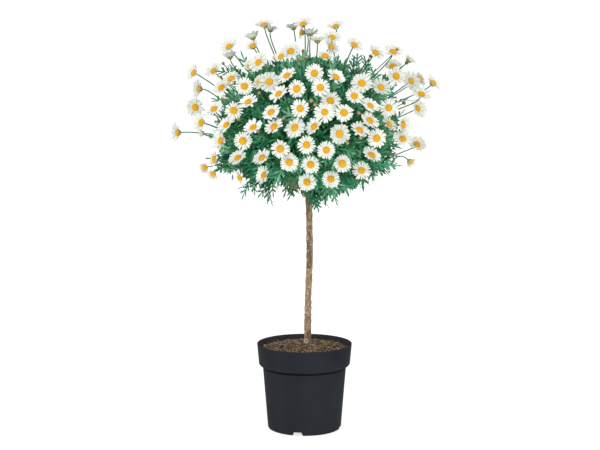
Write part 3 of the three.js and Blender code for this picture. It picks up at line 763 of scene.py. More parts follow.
bough_lines = np.array(list(boughs.values()))
stem_starts = np.concatenate([[on_trunk(TRUNK_TIP)], bough_lines[:, 3]])
stem_ways = unit(np.concatenate([[[0, 0, 1.0]], bough_lines[:, 3] - bough_lines[:, 2]]))
stem_middles = (stem_starts + hearts) / 2
stem_feet = stem_starts - 0.004 * stem_ways
stems = np.stack([stem_feet, stem_starts + 0.012 * stem_ways, stem_middles, hearts], 1)
stems[:, 2] += 0.3 * (stem_starts + 0.02 * stem_ways - stems[:, 2])
forks = surface_point(even_directions(FORKS, LOWEST_FORK), LEAF_REACH, draw.uniform(*FORK_SHARES, FORKS))
branches = bending(draw, hearts[nearest(hearts, forks)], forks, 0.12)
shoot_ways = even_directions(LEAFY_SHOOTS, LOWEST_SHOOT)
shoot_ways = unit(shoot_ways + draw.normal(0, 0.04, shoot_ways.shape))
shoot_shares = draw.uniform(*SHOOT_SHARES, LEAFY_SHOOTS) + SHOOT_UNEVEN * lumps(shoot_ways, 4, 31)
shoot_tips = surface_point(shoot_ways, LEAF_REACH, shoot_shares * full_shoulders(shoot_ways))
place = (np.arange(HANGING_SHOOTS) + 0.5) / HANGING_SHOOTS
radius = HANGING_RADII[0] + (HANGING_RADII[1] - HANGING_RADII[0]) * np.sqrt(place)
turn = np.arange(HANGING_SHOOTS) * GOLDEN_ANGLE
depth = np.interp(radius, HANGING_RADII, HANGING_DEPTHS) + draw.uniform(-0.006, 0.004, HANGING_SHOOTS)
hanging = HEAD_CENTRE + np.stack([radius * np.cos(turn), radius * np.sin(turn), -depth], -1)
shoot_tips = np.concatenate([shoot_tips, hanging])
shoots = bending(draw, forks[nearest(forks, shoot_tips)], shoot_tips, 0.14)
outward = unit(shoot_tips - HEAD_CENTRE)
upward = np.clip(outward[:, 2:] + 0.6, 0, 1) * [0, 0, SHOOT_LIFT]
shoots = arriving(shoots, unit(outward + upward + draw.normal(0, 0.25, outward.shape)), 0.4)

twig_green = new_finish(
    "twig_green", 0.6, 0.25, (120, 4), {0.3: (66, 96, 50), 0.5: (98, 118, 64), 0.7: (134, 124, 80)},
    (0.0002, 1500, 2),
)
shoot_lines = curve(shoots, SHOOT_STEPS)
wood = together(tapered(curve(stems, 12), STEM_RADII, 8), tapered(curve(branches, 10), BRANCH_RADII, 7))
part_of_head(put("branches", *wood, [bough_bark]))
part_of_head(put("shoots", *tapered(shoot_lines, SHOOT_RADII, 5), [twig_green]))


# The daisies stand on long bare stalks above the leaves, most of them facing the light, each stalk the end
# of a leafy flowering shoot. Those that the front shows have their own places. The rest are spread over the
# back and the sides, some of them close behind the outermost ones of the front.
FLOWER_REACH = [0.215, 0.192, 0.122]
BACK_REACH = [0.212, 0.166, 0.118]
BACK_FLOWERS = 190
LOWEST_FLOWER = -0.62
BACK_FROM = 0.2
SIDES_FROM = -0.2
SIDES_UNDER = 0.45
TUCKED_IN = [0.7, 1]
TUCKED_UNTIL = [0.08, 0.62]
APART = 0.03
# Some daisies stand sheltered behind those of the front that are farther than this from the axis, so far
# behind them, and so far out by the leaves' reach.
SHELTERED_FROM = 0.095
SHELTERED_DEPTHS = [0.06, 0.12]
SHELTERED_SHARES = [1.05, 1.42]
SHELTERED_SIZE = 0.82
SHELTERED_TURN = 0.6
OPEN_RISES = [-6, 16]
HALF_OPEN_RISE = 48
HALF_OPEN_SHARE = 0.12
HALF_OPEN_SIZE = 0.65
BACK_SIZES = [0.0165, 0.0195]
BUTTON_SHARE = 0.42
BUTTON_RADII = [0.0066, 0.0073]
BACK_BUTTON_SIZE = 0.86
STALK_RISE = 0.35
STALK_LENGTH = 0.075
STALK_FOOT_SHARE = 0.93
STALK_RADII = [0.0013, 0.0011]
NECK_SHARE = 0.9
PICTURE_WIDTH = 600
PICTURE_HEIGHT = 450
SENSOR_WIDTH = 36
DEPTH_STEPS = 60
# A daisy of the front: where the picture shows it, across and down in pixels; the way that it faces there in
# degrees (0 right, 90 up) and its lean from facing the viewer; how far its petals rise from flat; the length
# from its middle to a petal's tip in mm; how far it stands behind the flower surface, or behind the axis
# beyond it; and its petals' painted shade, from 0, white, to 2, grey.
FRONT_DAISIES = np.array([
    (264.3, 25.4, 98, 70, 24, 20, -34, 1), (270.4, 30, 85, 100, 42, 18, 38, 2),
    (293.6, 28, 100, 103, 42, 17, 37, 2), (303.4, 24.4, 105, 62, 24, 20, -23, 1),
    (335.9, 26.7, 100, 68, 20, 20, 16, 1), (253, 38, 108, 106, 46, 19, -19, 2),
    (302, 32.5, 170, 78, 14, 16, 31, 1), (310.4, 34, 85, 102, 46, 19, -5, 2),
    (317.5, 41, 90, 106, 40, 17, 0, 1), (331.9, 38.1, 85, 55, 20, 20, 0, 1),
    (229.4, 47.1, 120, 55, 26, 21, 1, 1), (252.9, 46.4, 122, 60, 20, 16, -33, 1),
    (290.9, 51.7, 110, 46, 16, 22, 0, 1), (330.9, 47.2, 40, 58, 20, 19, 30, 2),
    (354.2, 45.4, 60, 54, 22, 20, 0, 1), (375.3, 53.1, 53, 56, 18, 20, -10, 1),
    (392.9, 52.3, 80, 56, 22, 21, -6, 1), (230, 57, 100, 104, 40, 18, -8, 2),
    (249.8, 65, 140, 60, 30, 15, 15, 1), (258.8, 62.7, 135, 44, 14, 22, 0, 1),
    (275.6, 57.3, 120, 60, 45, 9, 10, 0), (281.2, 57, 130, 50, 24, 14, 0, 1),
    (325, 56.7, 82, 58, 24, 17, 0, 1), (409, 60, 50, 85, 46, 17, -7, 1),
    (194.2, 73, 152, 60, 28, 20, -29, 1), (214, 71.2, 127, 56, 20, 20, 11, 1),
    (287.3, 76.1, 122, 57, 18, 20.5, 0, 0), (314.3, 73.4, 90, 15, 4, 19, 0, 0),
    (335.5, 77.4, 57, 57, 18, 20.5, 0, 0), (393.1, 66.8, 100, 52, 24, 19, 3, 1),
    (396.1, 76.3, 50, 22, 14, 20, 0, 1), (199.5, 88.9, 176, 60, 32, 21, -13, 2),
    (221.6, 87.9, 120, 52, 18, 19, 0, 1), (231.3, 79.2, 121, 55, 18, 19, 0, 1),
    (244.2, 86.4, 70, 20, 4, 19, 0, 0), (260.2, 82.1, 150, 50, 18, 17, 20, 1),
    (269.4, 81.9, 95, 26, 0, 21.5, 0, 2), (296.8, 88.9, 80, 15, 4, 17.5, 0, 0),
    (320.3, 87.7, 100, 12, 4, 18.5, 0, 0), (361.7, 83.3, 80, 24, 6, 21, 0, 1),
    (380.8, 87.7, 60, 42, 16, 21, 0, 2), (410.9, 81.3, 38, 42, 14, 22, -4, 2),
    (419.6, 79.5, 30, 60, 20, 17, 44, 2), (432.7, 83.5, 48, 66, 24, 20, 16, 1),
    (224, 98, 60, 88, 45, 10, 10, 1), (279, 94.3, 122, 56, 16, 20.5, 0, 0),
    (330.4, 100.8, 70, 28, 8, 20, 22, 0), (354.2, 96.3, 60, 34, 14, 18.5, 0, 0),
    (421.2, 94.8, 75, 56, 20, 21.5, -14, 1), (195.5, 107.4, 180, 16, 16, 20, 12, 1),
    (214.4, 109.5, 117, 56, 20, 21, 0, 0), (233.6, 110.7, 80, 16, 4, 18.5, 0, 0),
    (248.6, 102.4, 120, 56, 18, 20.5, 0, 0), (271.4, 112.6, 122, 53, 12, 20, 0, 0),
    (300.2, 108.6, 90, 12, 4, 18.5, 0, 0), (324.7, 112.3, 90, 26, -4, 21, 0, 0),
    (343.9, 112.9, 70, 18, 4, 18.5, 0, 0), (370.1, 106.3, 60, 56, 16, 20.5, 0, 0),
    (388.9, 107.7, 200, 8, 6, 19, 0, 0), (417.3, 108.8, 28, 50, 22, 23, 27, 1),
    (201.8, 122.7, 165, 52, 30, 21, 0, 1), (226.8, 125.3, 130, 56, 20, 20.5, 0, 0),
    (369.5, 121, 55, 54, 14, 20, 0, 0), (388.5, 124.6, 44, 60, 22, 19, 20, 1),
    (402.7, 124.8, 0, 52, 24, 22, 0, 1), (178.1, 132.6, 180, 60, 30, 22, -20, 2),
    (202.3, 133.3, 178, 82, 60, 12.5, -6, 1), (253.6, 127.9, 120, 54, 18, 20.5, 0, 0),
    (274.4, 127.3, 122, 55, 16, 20.5, 0, 0), (295, 127.9, 135, 36, 2, 21, 0, 1),
    (314.8, 126.8, 142, 56, 18, 20.5, 0, 0), (339.7, 133.8, 200, 12, 2, 20.5, 0, 2),
    (359.2, 130.4, 60, 54, 18, 20.5, 0, 0), (221.1, 140.8, 170, 50, 30, 20, 0, 1),
    (242.8, 141, 60, 16, 4, 18.5, 0, 0), (280.1, 149, 70, 18, 4, 18.5, 0, 0),
    (306.5, 144.9, 60, 10, 4, 18.5, 0, 0), (376.7, 138.3, 70, 10, 4, 19, 0, 0),
    (402.6, 139.4, 75, 44, 16, 20.5, 0, 0), (416.7, 144.8, 70, 46, 22, 21, 5, 1),
    (214.8, 159.3, 165, 62, 18, 18, 0, 1), (238, 158.3, 122, 57, 20, 20.5, 0, 0),
    (262.4, 158.3, 124, 57, 18, 20.5, 0, 0), (326.3, 150.2, 80, 14, 4, 18.5, 0, 0),
    (371.4, 155.6, 58, 56, 18, 20.5, 0, 0), (409.8, 161.6, -42, 56, 46, 15, 9, 1),
    (205, 167.6, 205, 38, 42, 14, -20, 1), (213.3, 173.9, 225, 40, 42, 14, -40, 1),
    (289.3, 162.5, 120, 14, 4, 18.5, 0, 0), (310.5, 164.8, 60, 15, 4, 18.5, 0, 0),
    (342.4, 163.7, 180, 15, -4, 18, 0, 1), (361.6, 170.6, 80, 16, 4, 19, 0, 0),
    (240.4, 177.5, 205, 54, 18, 20, 0, 0), (264.4, 175.5, 160, 56, 22, 20.5, 0, 0),
    (307, 182.3, 80, 10, 4, 18.5, 0, 0), (330.9, 179.2, 80, 15, 4, 18.5, 0, 0),
])
# The stalks that show all along beside the head: the daisy's place, and three points of its curve. They are
# seen through a ball of no size, which puts them on the axis, and then moved on to their daisy's depth.
NO_REACH = [1e-6, 1e-6, 1e-6]
OWN_STALK_DEPTHS = np.array([0.02, 0.008, 0])
OWN_STALKS = {
    (178.1, 132.6): [(213, 138), (204, 133), (193, 131.5)],
    (409.8, 161.6): [(392, 163.5), (397, 152), (405, 156.5)],
    (416.7, 144.8): [(383, 161.6), (396, 154), (407, 150.5)],
    (205.0, 167.6): [(222, 162), (217, 166), (210, 167)],
    (213.3, 173.9): [(228, 165), (224, 168), (218, 170)],
}


def seen_at(across, down, reach, behind):
    """Where the ray through a place of the picture meets the near side of the flattened ball, or the upright
    plane through the axis where it passes the ball, moved on by `behind` along the level. The depth y is
    found step by step from y = -side × sqrt(1 - (x / side)² - (z / height)²)."""
    focal = CAMERA_LENS / SENSOR_WIDTH * PICTURE_WIDTH
    tilt, turn = np.radians([CAMERA_TILT, CAMERA_TURN])
    right = (across - PICTURE_WIDTH / 2) / focal
    up = -(down - PICTURE_HEIGHT / 2) / focal
    ahead = np.cos(tilt) + up * np.sin(tilt)
    ray = np.stack(
        [
            right * np.cos(turn) - ahead * np.sin(turn),
            right * np.sin(turn) + ahead * np.cos(turn),
            up * np.cos(tilt) - np.sin(tilt),
        ],
        -1,
    )

    def at_depth(y):
        return [0, -CAMERA_DISTANCE, CAMERA_HEIGHT] + ray * ((CAMERA_DISTANCE + y) / ray[..., 1])[..., None]

    y = np.zeros(len(ray))
    for _ in range(DEPTH_STEPS):
        off = at_depth(y) - HEAD_CENTRE
        inside = 1 - ((off / half_widths(reach, off[:, 2] > 0))[:, [0, 2]] ** 2).sum(-1)
        y = np.where(inside > 0.02, 0.5 * y - 0.5 * reach[0] * np.sqrt(np.maximum(inside, 0)), 0)
    return at_depth(y + behind)


draw = np.random.default_rng(23)
across, down, way, lean, front_open, front_size, behind, front_painted_shade = FRONT_DAISIES.T
front = seen_at(across, down, FLOWER_REACH, behind / 1000)
way, lean = np.radians(way), np.radians(lean)
front_face = np.stack([np.sin(lean) * np.cos(way), -np.cos(lean), np.sin(lean) * np.sin(way)], -1)
toward = even_directions(BACK_FLOWERS, LOWEST_FLOWER)
behind_head = toward[:, 1] > BACK_FROM
on_side = (toward[:, 1] > SIDES_FROM) & (toward[:, 2] < SIDES_UNDER)
toward = toward[behind_head | on_side]
tucked = np.interp(toward[:, 1], TUCKED_UNTIL, TUCKED_IN)
back = surface_point(toward, BACK_REACH, tucked * draw.uniform(0.93, 1.05, len(toward)))
outer = np.abs(front[:, 0] - HEAD_CENTRE[0]) > SHELTERED_FROM
sheltered = np.concatenate([
    seen_at(across[outer], down[outer], FLOWER_REACH, behind[outer] / 1000 + depth)
    for depth in SHELTERED_DEPTHS
])
off = sheltered - HEAD_CENTRE
beyond = np.linalg.norm(off / half_widths(LEAF_REACH, off[:, 2] > 0), axis=-1)
held = (beyond > SHELTERED_SHARES[0]) & (beyond < SHELTERED_SHARES[1])
sideways = np.stack([np.sign(off[:, 0]), 0 * beyond, off[:, 2] / LEAF_REACH[1]], -1)
toward = np.concatenate([toward, unit(sideways[held])])
back = np.concatenate([back, sheltered[held]])
is_sheltered = np.arange(len(back)) >= len(back) - held.sum()
apart = np.linalg.norm(back[:, None] - front, axis=-1).min(1) > APART
among = np.linalg.norm(back[:, None] - back, axis=-1) < APART
apart &= ~(among & np.tri(len(back), k=-1, dtype=bool)).any(1)
toward, back, is_sheltered = toward[apart], back[apart], is_sheltered[apart]
turned_up = draw.uniform([-0.3, -0.3, -0.1], [0.3, 0.3, 0.45], back.shape)
turned_up[is_sheltered] *= SHELTERED_TURN
half_open = draw.uniform(0, 1, len(back)) < HALF_OPEN_SHARE
back_open = np.where(half_open, HALF_OPEN_RISE, draw.uniform(*OPEN_RISES, len(back)))
back_size = draw.uniform(*BACK_SIZES, len(back)) * np.where(half_open, HALF_OPEN_SIZE, 1)
back_size *= np.where(is_sheltered, SHELTERED_SIZE, 1)
centres = np.concatenate([front, back])
faces = np.concatenate([front_face, unit(toward * [1.3, 1.3, 0.5] + turned_up)])
rise = np.radians(np.concatenate([front_open, back_open]))
size = np.concatenate([front_size / 1000, back_size])
button = np.minimum(BUTTON_SHARE * size, draw.uniform(*BUTTON_RADII, len(size)))
button *= np.where(faces[:, 1] > 0, BACK_BUTTON_SIZE, 1)


def on_stalks(centres, faces, neck, length):
    """Stalks as four points each: from a foot just under the leaves, out and up, and square into the
    flower's back. The foot lies `length` back from the flower against its outward and upward way."""
    stalk_way = unit(unit(centres - HEAD_CENTRE) + [0, 0, STALK_RISE])
    inward = centres - length * stalk_way - HEAD_CENTRE
    share = np.linalg.norm(inward / half_widths(LEAF_REACH, inward[:, 2] > 0), axis=-1)
    foot = HEAD_CENTRE + inward * np.minimum(1, STALK_FOOT_SHARE / share)[:, None]
    end = centres - neck[:, None] * faces
    run = np.linalg.norm(end - foot, axis=-1, keepdims=True)
    leave = foot + 0.45 * run * unit(end - foot + 0.2 * run * stalk_way)
    return np.stack([foot, leave, end - np.minimum(0.3 * run, 0.016) * faces, end], 1)


stalk_green = new_finish(
    "stalk_green", 0.55, 0.25, (90, 3), {0.3: (38, 106, 62), 0.55: (56, 132, 80), 0.8: (88, 150, 94)},
    (0.0002, 1500, 2, 0.2),
)
stalks = on_stalks(centres, faces, NECK_SHARE * button, STALK_LENGTH)
bare = np.zeros(len(stalks), bool)
for i, place in enumerate(zip(across, down)):
    if place in OWN_STALKS:
        bare[i] = True
        points = np.array(OWN_STALKS[place])
        stalks[i, :3] = seen_at(*points.T, NO_REACH, centres[i, 1] + OWN_STALK_DEPTHS)
flowering = bending(draw, forks[nearest(forks, stalks[:, 0])], stalks[:, 0], 0.1)
flowering_lines = curve(arriving(flowering, unit(stalks[:, 1] - stalks[:, 0]), 0.3), SHOOT_STEPS)
flowering_radii = [SHOOT_RADII[0], STALK_RADII[0]]
stalk_lines = curve(stalks, 14)
part_of_head(put("stalks", *tapered(stalk_lines, STALK_RADII, 6), [stalk_green]))
part_of_head(put("flowering_shoots", *tapered(flowering_lines, flowering_radii, 5), [twig_green]))


# Some leafy sprigs stand clear of the rest, among the stalks and under the head, each the green end of a
# branch. In a gap left of the trunk bare brown twigs show, which have lost their leaves.
HANG_FROM = 0.55
SPRIG_RADII = [0.0011, 0.0006]
SPRIG_DRAWN_BACK = 0.022
# The bare twigs run from low on the boughs up to the leaves' inner side: the corners of the two boxes that
# hold their feet and their tips.
BARE_TWIGS = 10
BARE_FEET = [(-0.012, -0.03, 0.464), (0.004, -0.012, 0.48)]
BARE_TIPS = [(-0.045, -0.085, 0.5), (-0.006, -0.05, 0.56)]
BARE_RADII = [0.0008, 0.0005]
# Where the picture shows each sprig's end, across and down in pixels, and how far it stands behind the leaf
# surface, or behind the axis beyond it, in mm.
SPRIGS = np.array([
    (361, 57, 10), (372, 61, -15), (383, 71, 0), (391, 84, 15), (398, 94, -10), (403, 108, 10),
    (401, 118, -15), (406, 123, 0), (390, 122, 10), (393, 143, -12), (395, 149, 10), (240, 68, 10),
    (247, 62, -10), (229, 62, 0), (226, 90, 0), (219, 99, -15), (220, 115, 8), (215, 108, -8),
    (220, 140, 10), (219, 152, -10), (219, 164, 0), (220, 172, 10), (392, 173, 0), (247, 190, -50),
    (263, 195, -45), (290, 192, -50), (297, 194, -40), (311, 199, -54), (315, 203, -44),
    (321, 202, -56), (326, 200, -30), (317, 207, -34), (334, 196, -50), (342, 193, -20), (271, 60, 0),
])

sprig_draw = np.random.default_rng(29)
sprig_ends = seen_at(SPRIGS[:, 0], SPRIGS[:, 1], LEAF_REACH, SPRIGS[:, 2] / 1000)
upward = np.where(sprig_ends[:, 2:] > HANG_FROM, 0.7, -0.5) * [0, 0, 1]
into = unit(unit(sprig_ends - HEAD_CENTRE) + upward + sprig_draw.normal(0, 0.15, sprig_ends.shape))
sprig_tips = sprig_ends - SPRIG_DRAWN_BACK * into
sprigs = bending(sprig_draw, forks[nearest(forks, sprig_tips)], sprig_tips, 0.1)
sprig_lines = curve(arriving(sprigs, into, 0.4), SHOOT_STEPS)
part_of_head(put("sprigs", *tapered(sprig_lines, SPRIG_RADII, 5), [twig_green]))

draw = np.random.default_rng(41)
bare_brown = new_finish(
    "bare_brown", 0.8, 0.15, (260, 4), {0.35: (74, 48, 34), 0.5: (112, 78, 54), 0.65: (150, 112, 80)},
    (0.0002, 1600, 2),
)
bare_feet = draw.uniform(*BARE_FEET, (BARE_TWIGS, 3))
bare_tips = draw.uniform(*BARE_TIPS, (BARE_TWIGS, 3))
bare_lines = curve(bending(draw, bare_feet, bare_tips, 0.1), 12)
part_of_head(put("bare_twigs", *tapered(bare_lines, BARE_RADII, 5), [bare_brown]))


# The leaves are cut almost to the rib into narrow toothed lobes, soft and blue-green. They are set all round
# each shoot, much alike in tint and paler towards its tip, and hang in a shallow bowl under the head.
LEAVES_PER_SHOOT = 11
LEAVES_PER_FLOWERING_SHOOT = 8
LEAVES_PER_STALK = 2
LEAVES_PER_SPRIG = 6
LEAFY_STALK_ROWS = 4
LEAF_LENGTHS = [0.038, 0.058]
HANG_ALL = 0.49
# How many tint steps darker the hanging leaves and the sprigs' leaves are made: painted shade.
HANGING_PAINTED_SHADE = 1.6
SPRIG_PAINTED_SHADE = 1.8
STALK_LEAF_SHARE = 0.7
SPRIG_LEAF_SHARE = 0.85
SPARSE_LEAF_SHARE = 0.5
LEAF_LEAN = [34, 76]
RIB_HALF_WIDTHS = [0.018, 0.026, 0.03, 0.03]
# Each lobe: where it leaves the rib, along and across it, its way from the rib's in degrees, its length and
# its width. Lengths are in leaf lengths.
LOBES = np.array([
    (0.14, 0.00, 48, 0.26, 0.074), (0.34, 0.00, 44, 0.38, 0.086), (0.54, 0.00, 37, 0.38, 0.088),
    (0.46, 0.13, 82, 0.13, 0.056), (0.70, 0.12, 66, 0.13, 0.056),
])
TIP_LOBE = np.array([(0.72, 0, 0, 0.33, 0.088)])
# A gap under the head, left of the trunk, where only dry leaves are left: its middle and half-widths.
GAP_MIDDLE = [-0.013, -0.064, 0.486]
GAP_HALF_WIDTHS = [0.012, 0.055, 0.03]
# The bowl that the lowest leaves keep above: its radius, its height above the ground, and where it rises
# from left to right: the rise's middle, half-width and height.
BOWL_RADII = [0, 0.05, 0.1, 0.13, 0.15, 0.19, 0.21]
BOWL_HEIGHTS = [0.446, 0.452, 0.462, 0.476, 0.49, 0.516, 0.55]
BOWL_UNEVEN = 0.016
BOWL_RISES = [(-0.047, 0.03, 0.022), (-0.1, 0.024, 0.01), (0.17, 0.042, 0.015)]
SPARSE_DEPTH = 0.036
DRY_SHARE = 0.4
BROWN_SHARE = 0.6
CLEAR_DEPTHS = [0.03, 0.008]


def lobes(rows, side):
    """Narrow lobes: from its two corners on the rib each widens to its middle and narrows to a point. They
    lie in the leaf's plane, at (along, across), and are mirrored where side is -1."""
    along, across, way, length, width = rows.T
    turn = np.radians(way)
    ahead = np.stack([np.cos(turn), np.sin(turn)], -1)
    edge = np.stack([-np.sin(turn), np.cos(turn)], -1)
    foot = np.stack([along, across], -1)
    half = width[:, None] / 2
    length = length[:, None]
    corners = [
        foot - 0.6 * half * edge, foot + 0.6 * half * edge,
        foot + 0.55 * length * ahead - half * edge, foot + 0.55 * length * ahead + half * edge,
        foot + length * ahead,
    ]
    points = np.stack(corners, 1) * [1, side]
    triangles = np.array([[0, 2, 1], [1, 2, 3], [3, 2, 4]])[:, ::side]
    return points.reshape(-1, 2), many(triangles, len(rows), 5)


def leaf_shape():
    """One leaf as (along, across, above): a rib and lobes, folded up from the rib and drooping outward."""
    rib_along = np.linspace(0, 0.78, 4)
    rib = np.stack([np.repeat(rib_along, 2), (np.array(RIB_HALF_WIDTHS)[:, None] * [-1, 1]).ravel()], -1)
    rib_triangles = np.concatenate([many(np.array([corners]), 3, 2) for corners in ([0, 2, 1], [1, 2, 3])])
    flat, triangles = together((rib, rib_triangles), lobes(LOBES, 1), lobes(LOBES, -1), lobes(TIP_LOBE, 1))
    along, across = flat.T
    above = 0.5 * np.abs(across) - 0.9 * across**2
    return np.stack([along, across, above], -1), triangles


def laid(shape, root, along, face, length, arch):
    """The shape at every root, in the plane of `along` and across, arched: above - arch × along². The
    plane's upper side faces `face` as nearly as it can."""
    along = unit(along)
    across = unit(np.cross(face, along))
    above = np.cross(along, across)
    u, v, w = shape.T
    lift = w - arch[:, None] * u**2
    size = length[:, None, None]
    placed = u[:, None] * along[:, None] + v[:, None] * across[:, None] + lift[..., None] * above[:, None]
    return root[:, None] + size * placed


def hanging_share(height):
    """How far a leaf at each height hangs down: from 0 high in the head to 1 near the bowl."""
    return np.clip((HANG_FROM - height) / (HANG_FROM - HANG_ALL), 0, 1)


def leaves_along(draw, lines, each, first):
    """Leaves set round each line by the golden angle, from a share of its length to its tip: root, way,
    upper side and share."""
    count, steps = lines.shape[:2]
    share = first + (1 - first) * (np.arange(each) + draw.uniform(0, 0.8, (count, each))) / each
    place = share * (steps - 1)
    i = np.minimum(place.astype(int), steps - 2)
    shoot = np.arange(count)[:, None]
    start, end = lines[shoot, i], lines[shoot, i + 1]
    root = start + (place - i)[..., None] * (end - start)
    stem = unit(end - start)
    side = unit(np.cross(stem, [0.2, 0.1, 1]))
    turn = draw.uniform(0, 2 * np.pi, (count, 1)) + np.arange(each) * GOLDEN_ANGLE
    out = np.cos(turn)[..., None] * side + np.sin(turn)[..., None] * np.cross(stem, side)
    lean = np.radians(draw.uniform(*LEAF_LEAN, (count, each)))[..., None] * (1.15 - 0.55 * share[..., None])
    way = np.cos(lean) * stem + np.sin(lean) * out
    way[..., 2] -= 0.9 * hanging_share(root[..., 2])
    face = stem - (stem * way).sum(-1, keepdims=True) * way + draw.normal(0, 0.45, way.shape) + [0, 0, 0.2]
    return root.reshape(-1, 3), way.reshape(-1, 3), face.reshape(-1, 3), share.ravel()


def free_of_flowers(points):
    """Whether a leaf keeps clear of each daisy: none of its points lies before the petals, within their
    reach, and nearer than a depth that is less for the daisies that face the sides."""
    clear = np.ones(len(points), bool)
    depth = np.where((np.arange(len(centres)) < len(front)) | (faces[:, 1] > 0.5), *CLEAR_DEPTHS)
    for centre, face, length, near in zip(centres, faces, size, depth):
        off = points - centre
        ahead = off @ face
        aside = np.linalg.norm(off - ahead[..., None] * face, axis=-1)
        clear &= ~((ahead > -0.003) & (ahead < near) & (aside < length)).any(1)
    return clear


def leaf_tint(name, dark, middle, pale):
    """Soft green leaf: a close mottling of three greens, and faint veins."""
    return new_finish(name, 0.45, 0.4, (60, 3), {0.3: dark, 0.5: middle, 0.7: pale}, (0.0003, 700, 2))


greens = [
    leaf_tint("leaf_deep", (30, 100, 64), (41, 119, 77), (53, 137, 90)),
    leaf_tint("leaf_blue", (37, 118, 84), (49, 137, 99), (66, 155, 116)),
    leaf_tint("leaf_middle", (38, 125, 79), (53, 144, 94), (72, 162, 110)),
    leaf_tint("leaf_fresh", (56, 145, 96), (77, 164, 113), (102, 182, 134)),
    leaf_tint("leaf_pale", (96, 170, 132), (124, 192, 154), (156, 210, 182)),
    leaf_tint("leaf_dry", (40, 92, 50), (84, 104, 58), (138, 118, 78)),
]
shape, shape_triangles = leaf_shape()
flowering_shares = np.where(bare, SPARSE_LEAF_SHARE, 1)
for name, lines, each, first, share_of_length, pieces in (
    ("leaves", shoot_lines, LEAVES_PER_SHOOT, 0.3, 1, 2),
    ("flowering_leaves", flowering_lines, LEAVES_PER_FLOWERING_SHOOT, 0.45, flowering_shares, 1),
    ("stalk_leaves", stalk_lines[~bare, :LEAFY_STALK_ROWS], LEAVES_PER_STALK, 0, STALK_LEAF_SHARE, 1),
    ("sprig_leaves", sprig_lines, LEAVES_PER_SPRIG, 0.55, SPRIG_LEAF_SHARE, 1),
):
    root, along, face, share = leaves_along(draw, lines, each, first)
    length = np.repeat(share_of_length * np.ones(len(lines)), each) * draw.uniform(*LEAF_LENGTHS, len(root))
    arch = draw.uniform(0.05, 0.4, len(root))
    # Leaves nearer the shoot's tip are younger and paler. Hanging leaves and the sprigs' leaves are given
    # darker tints as painted shade.
    of_shoot = np.repeat(draw.normal(0, 0.8, len(lines)), each)
    tint_level = 0.3 + 4.2 * share**1.4 + of_shoot + draw.normal(0, 0.5, len(root))
    tint_level -= HANGING_PAINTED_SHADE * hanging_share(root[:, 2])
    on_sprig = name == "sprig_leaves"
    tint_level -= SPRIG_PAINTED_SHADE * on_sprig
    tint = np.clip(tint_level, 0, 4).astype(int)
    points = laid(shape, root, along, face, length, arch)
    axis_distance = np.linalg.norm(points[..., :2] - HEAD_CENTRE[:2], axis=-1)
    bowl = np.interp(axis_distance, BOWL_RADII, BOWL_HEIGHTS) + BOWL_UNEVEN * lumps(root, 24, 15)[:, None]
    for across_at, half, upward in BOWL_RISES:
        bowl += upward * np.exp(-(((points[..., 0] - across_at) / half) ** 2))
    above = (points[..., 2] - bowl).min(1) + on_sprig
    thinned = above > SPARSE_DEPTH * draw.uniform(0, 1, len(root)) ** 2
    in_gap = (np.abs(points - GAP_MIDDLE) < GAP_HALF_WIDTHS).all(-1).any(1)
    dry = in_gap & (draw.uniform(0, 1, len(root)) < DRY_SHARE)
    tint[dry & (draw.uniform(0, 1, len(root)) < BROWN_SHARE)] = len(greens) - 1
    kept = np.nonzero(thinned & (~in_gap | dry) & free_of_flowers(points))[0]
    for i, cut in enumerate(np.array_split(kept, pieces)):
        triangles = many(shape_triangles, len(cut), len(shape))
        chosen = np.repeat(tint[cut], len(shape_triangles))
        part_of_head(put(f"{name}_{i + 1}", points[cut].reshape(-1, 3), triangles, greens, chosen))


# A daisy's petals are 20 to 26 narrow white strips with a blunt toothed tip, grooved along their length, set
# in a ring under the button's edge. Young ones still stand up as a cup.
PETAL_ROWS = np.array([0, 0.22, 0.5, 0.78, 0.94, 1])
PETAL_HALF_WIDTHS = np.array([0.55, 0.82, 1, 1, 0.88, 0.5])
PETAL_COLUMNS = np.array([-1, -0.36, 0.36, 1])
PETAL_COUNTS = [20, 27]
PETAL_HALF_WIDTH = 0.09
PETAL_LENGTHS = [0.84, 1.0]
BROAD = 1.22
BROAD_LEAN = 0.7
PETAL_UNEVEN = 0.22
START_RISES = [0.3, 0.7]
START_SHARES = [0.8, 1.04]
FOOT_RISE = 0.1
RISE_SPREAD = 0.09
PETAL_BEND = [-0.22, 0.16]
UPPER_LAYER = 0.035
GROOVE_DEPTH = 0.016
TWIST = 0.16
TOOTH = 0.05


def round_face(faces):
    """Two directions across each flower's facing, square to it and to each other."""
    side = unit(np.cross(faces, [0.31, 0.22, 0.92]))
    return side, np.cross(faces, side)


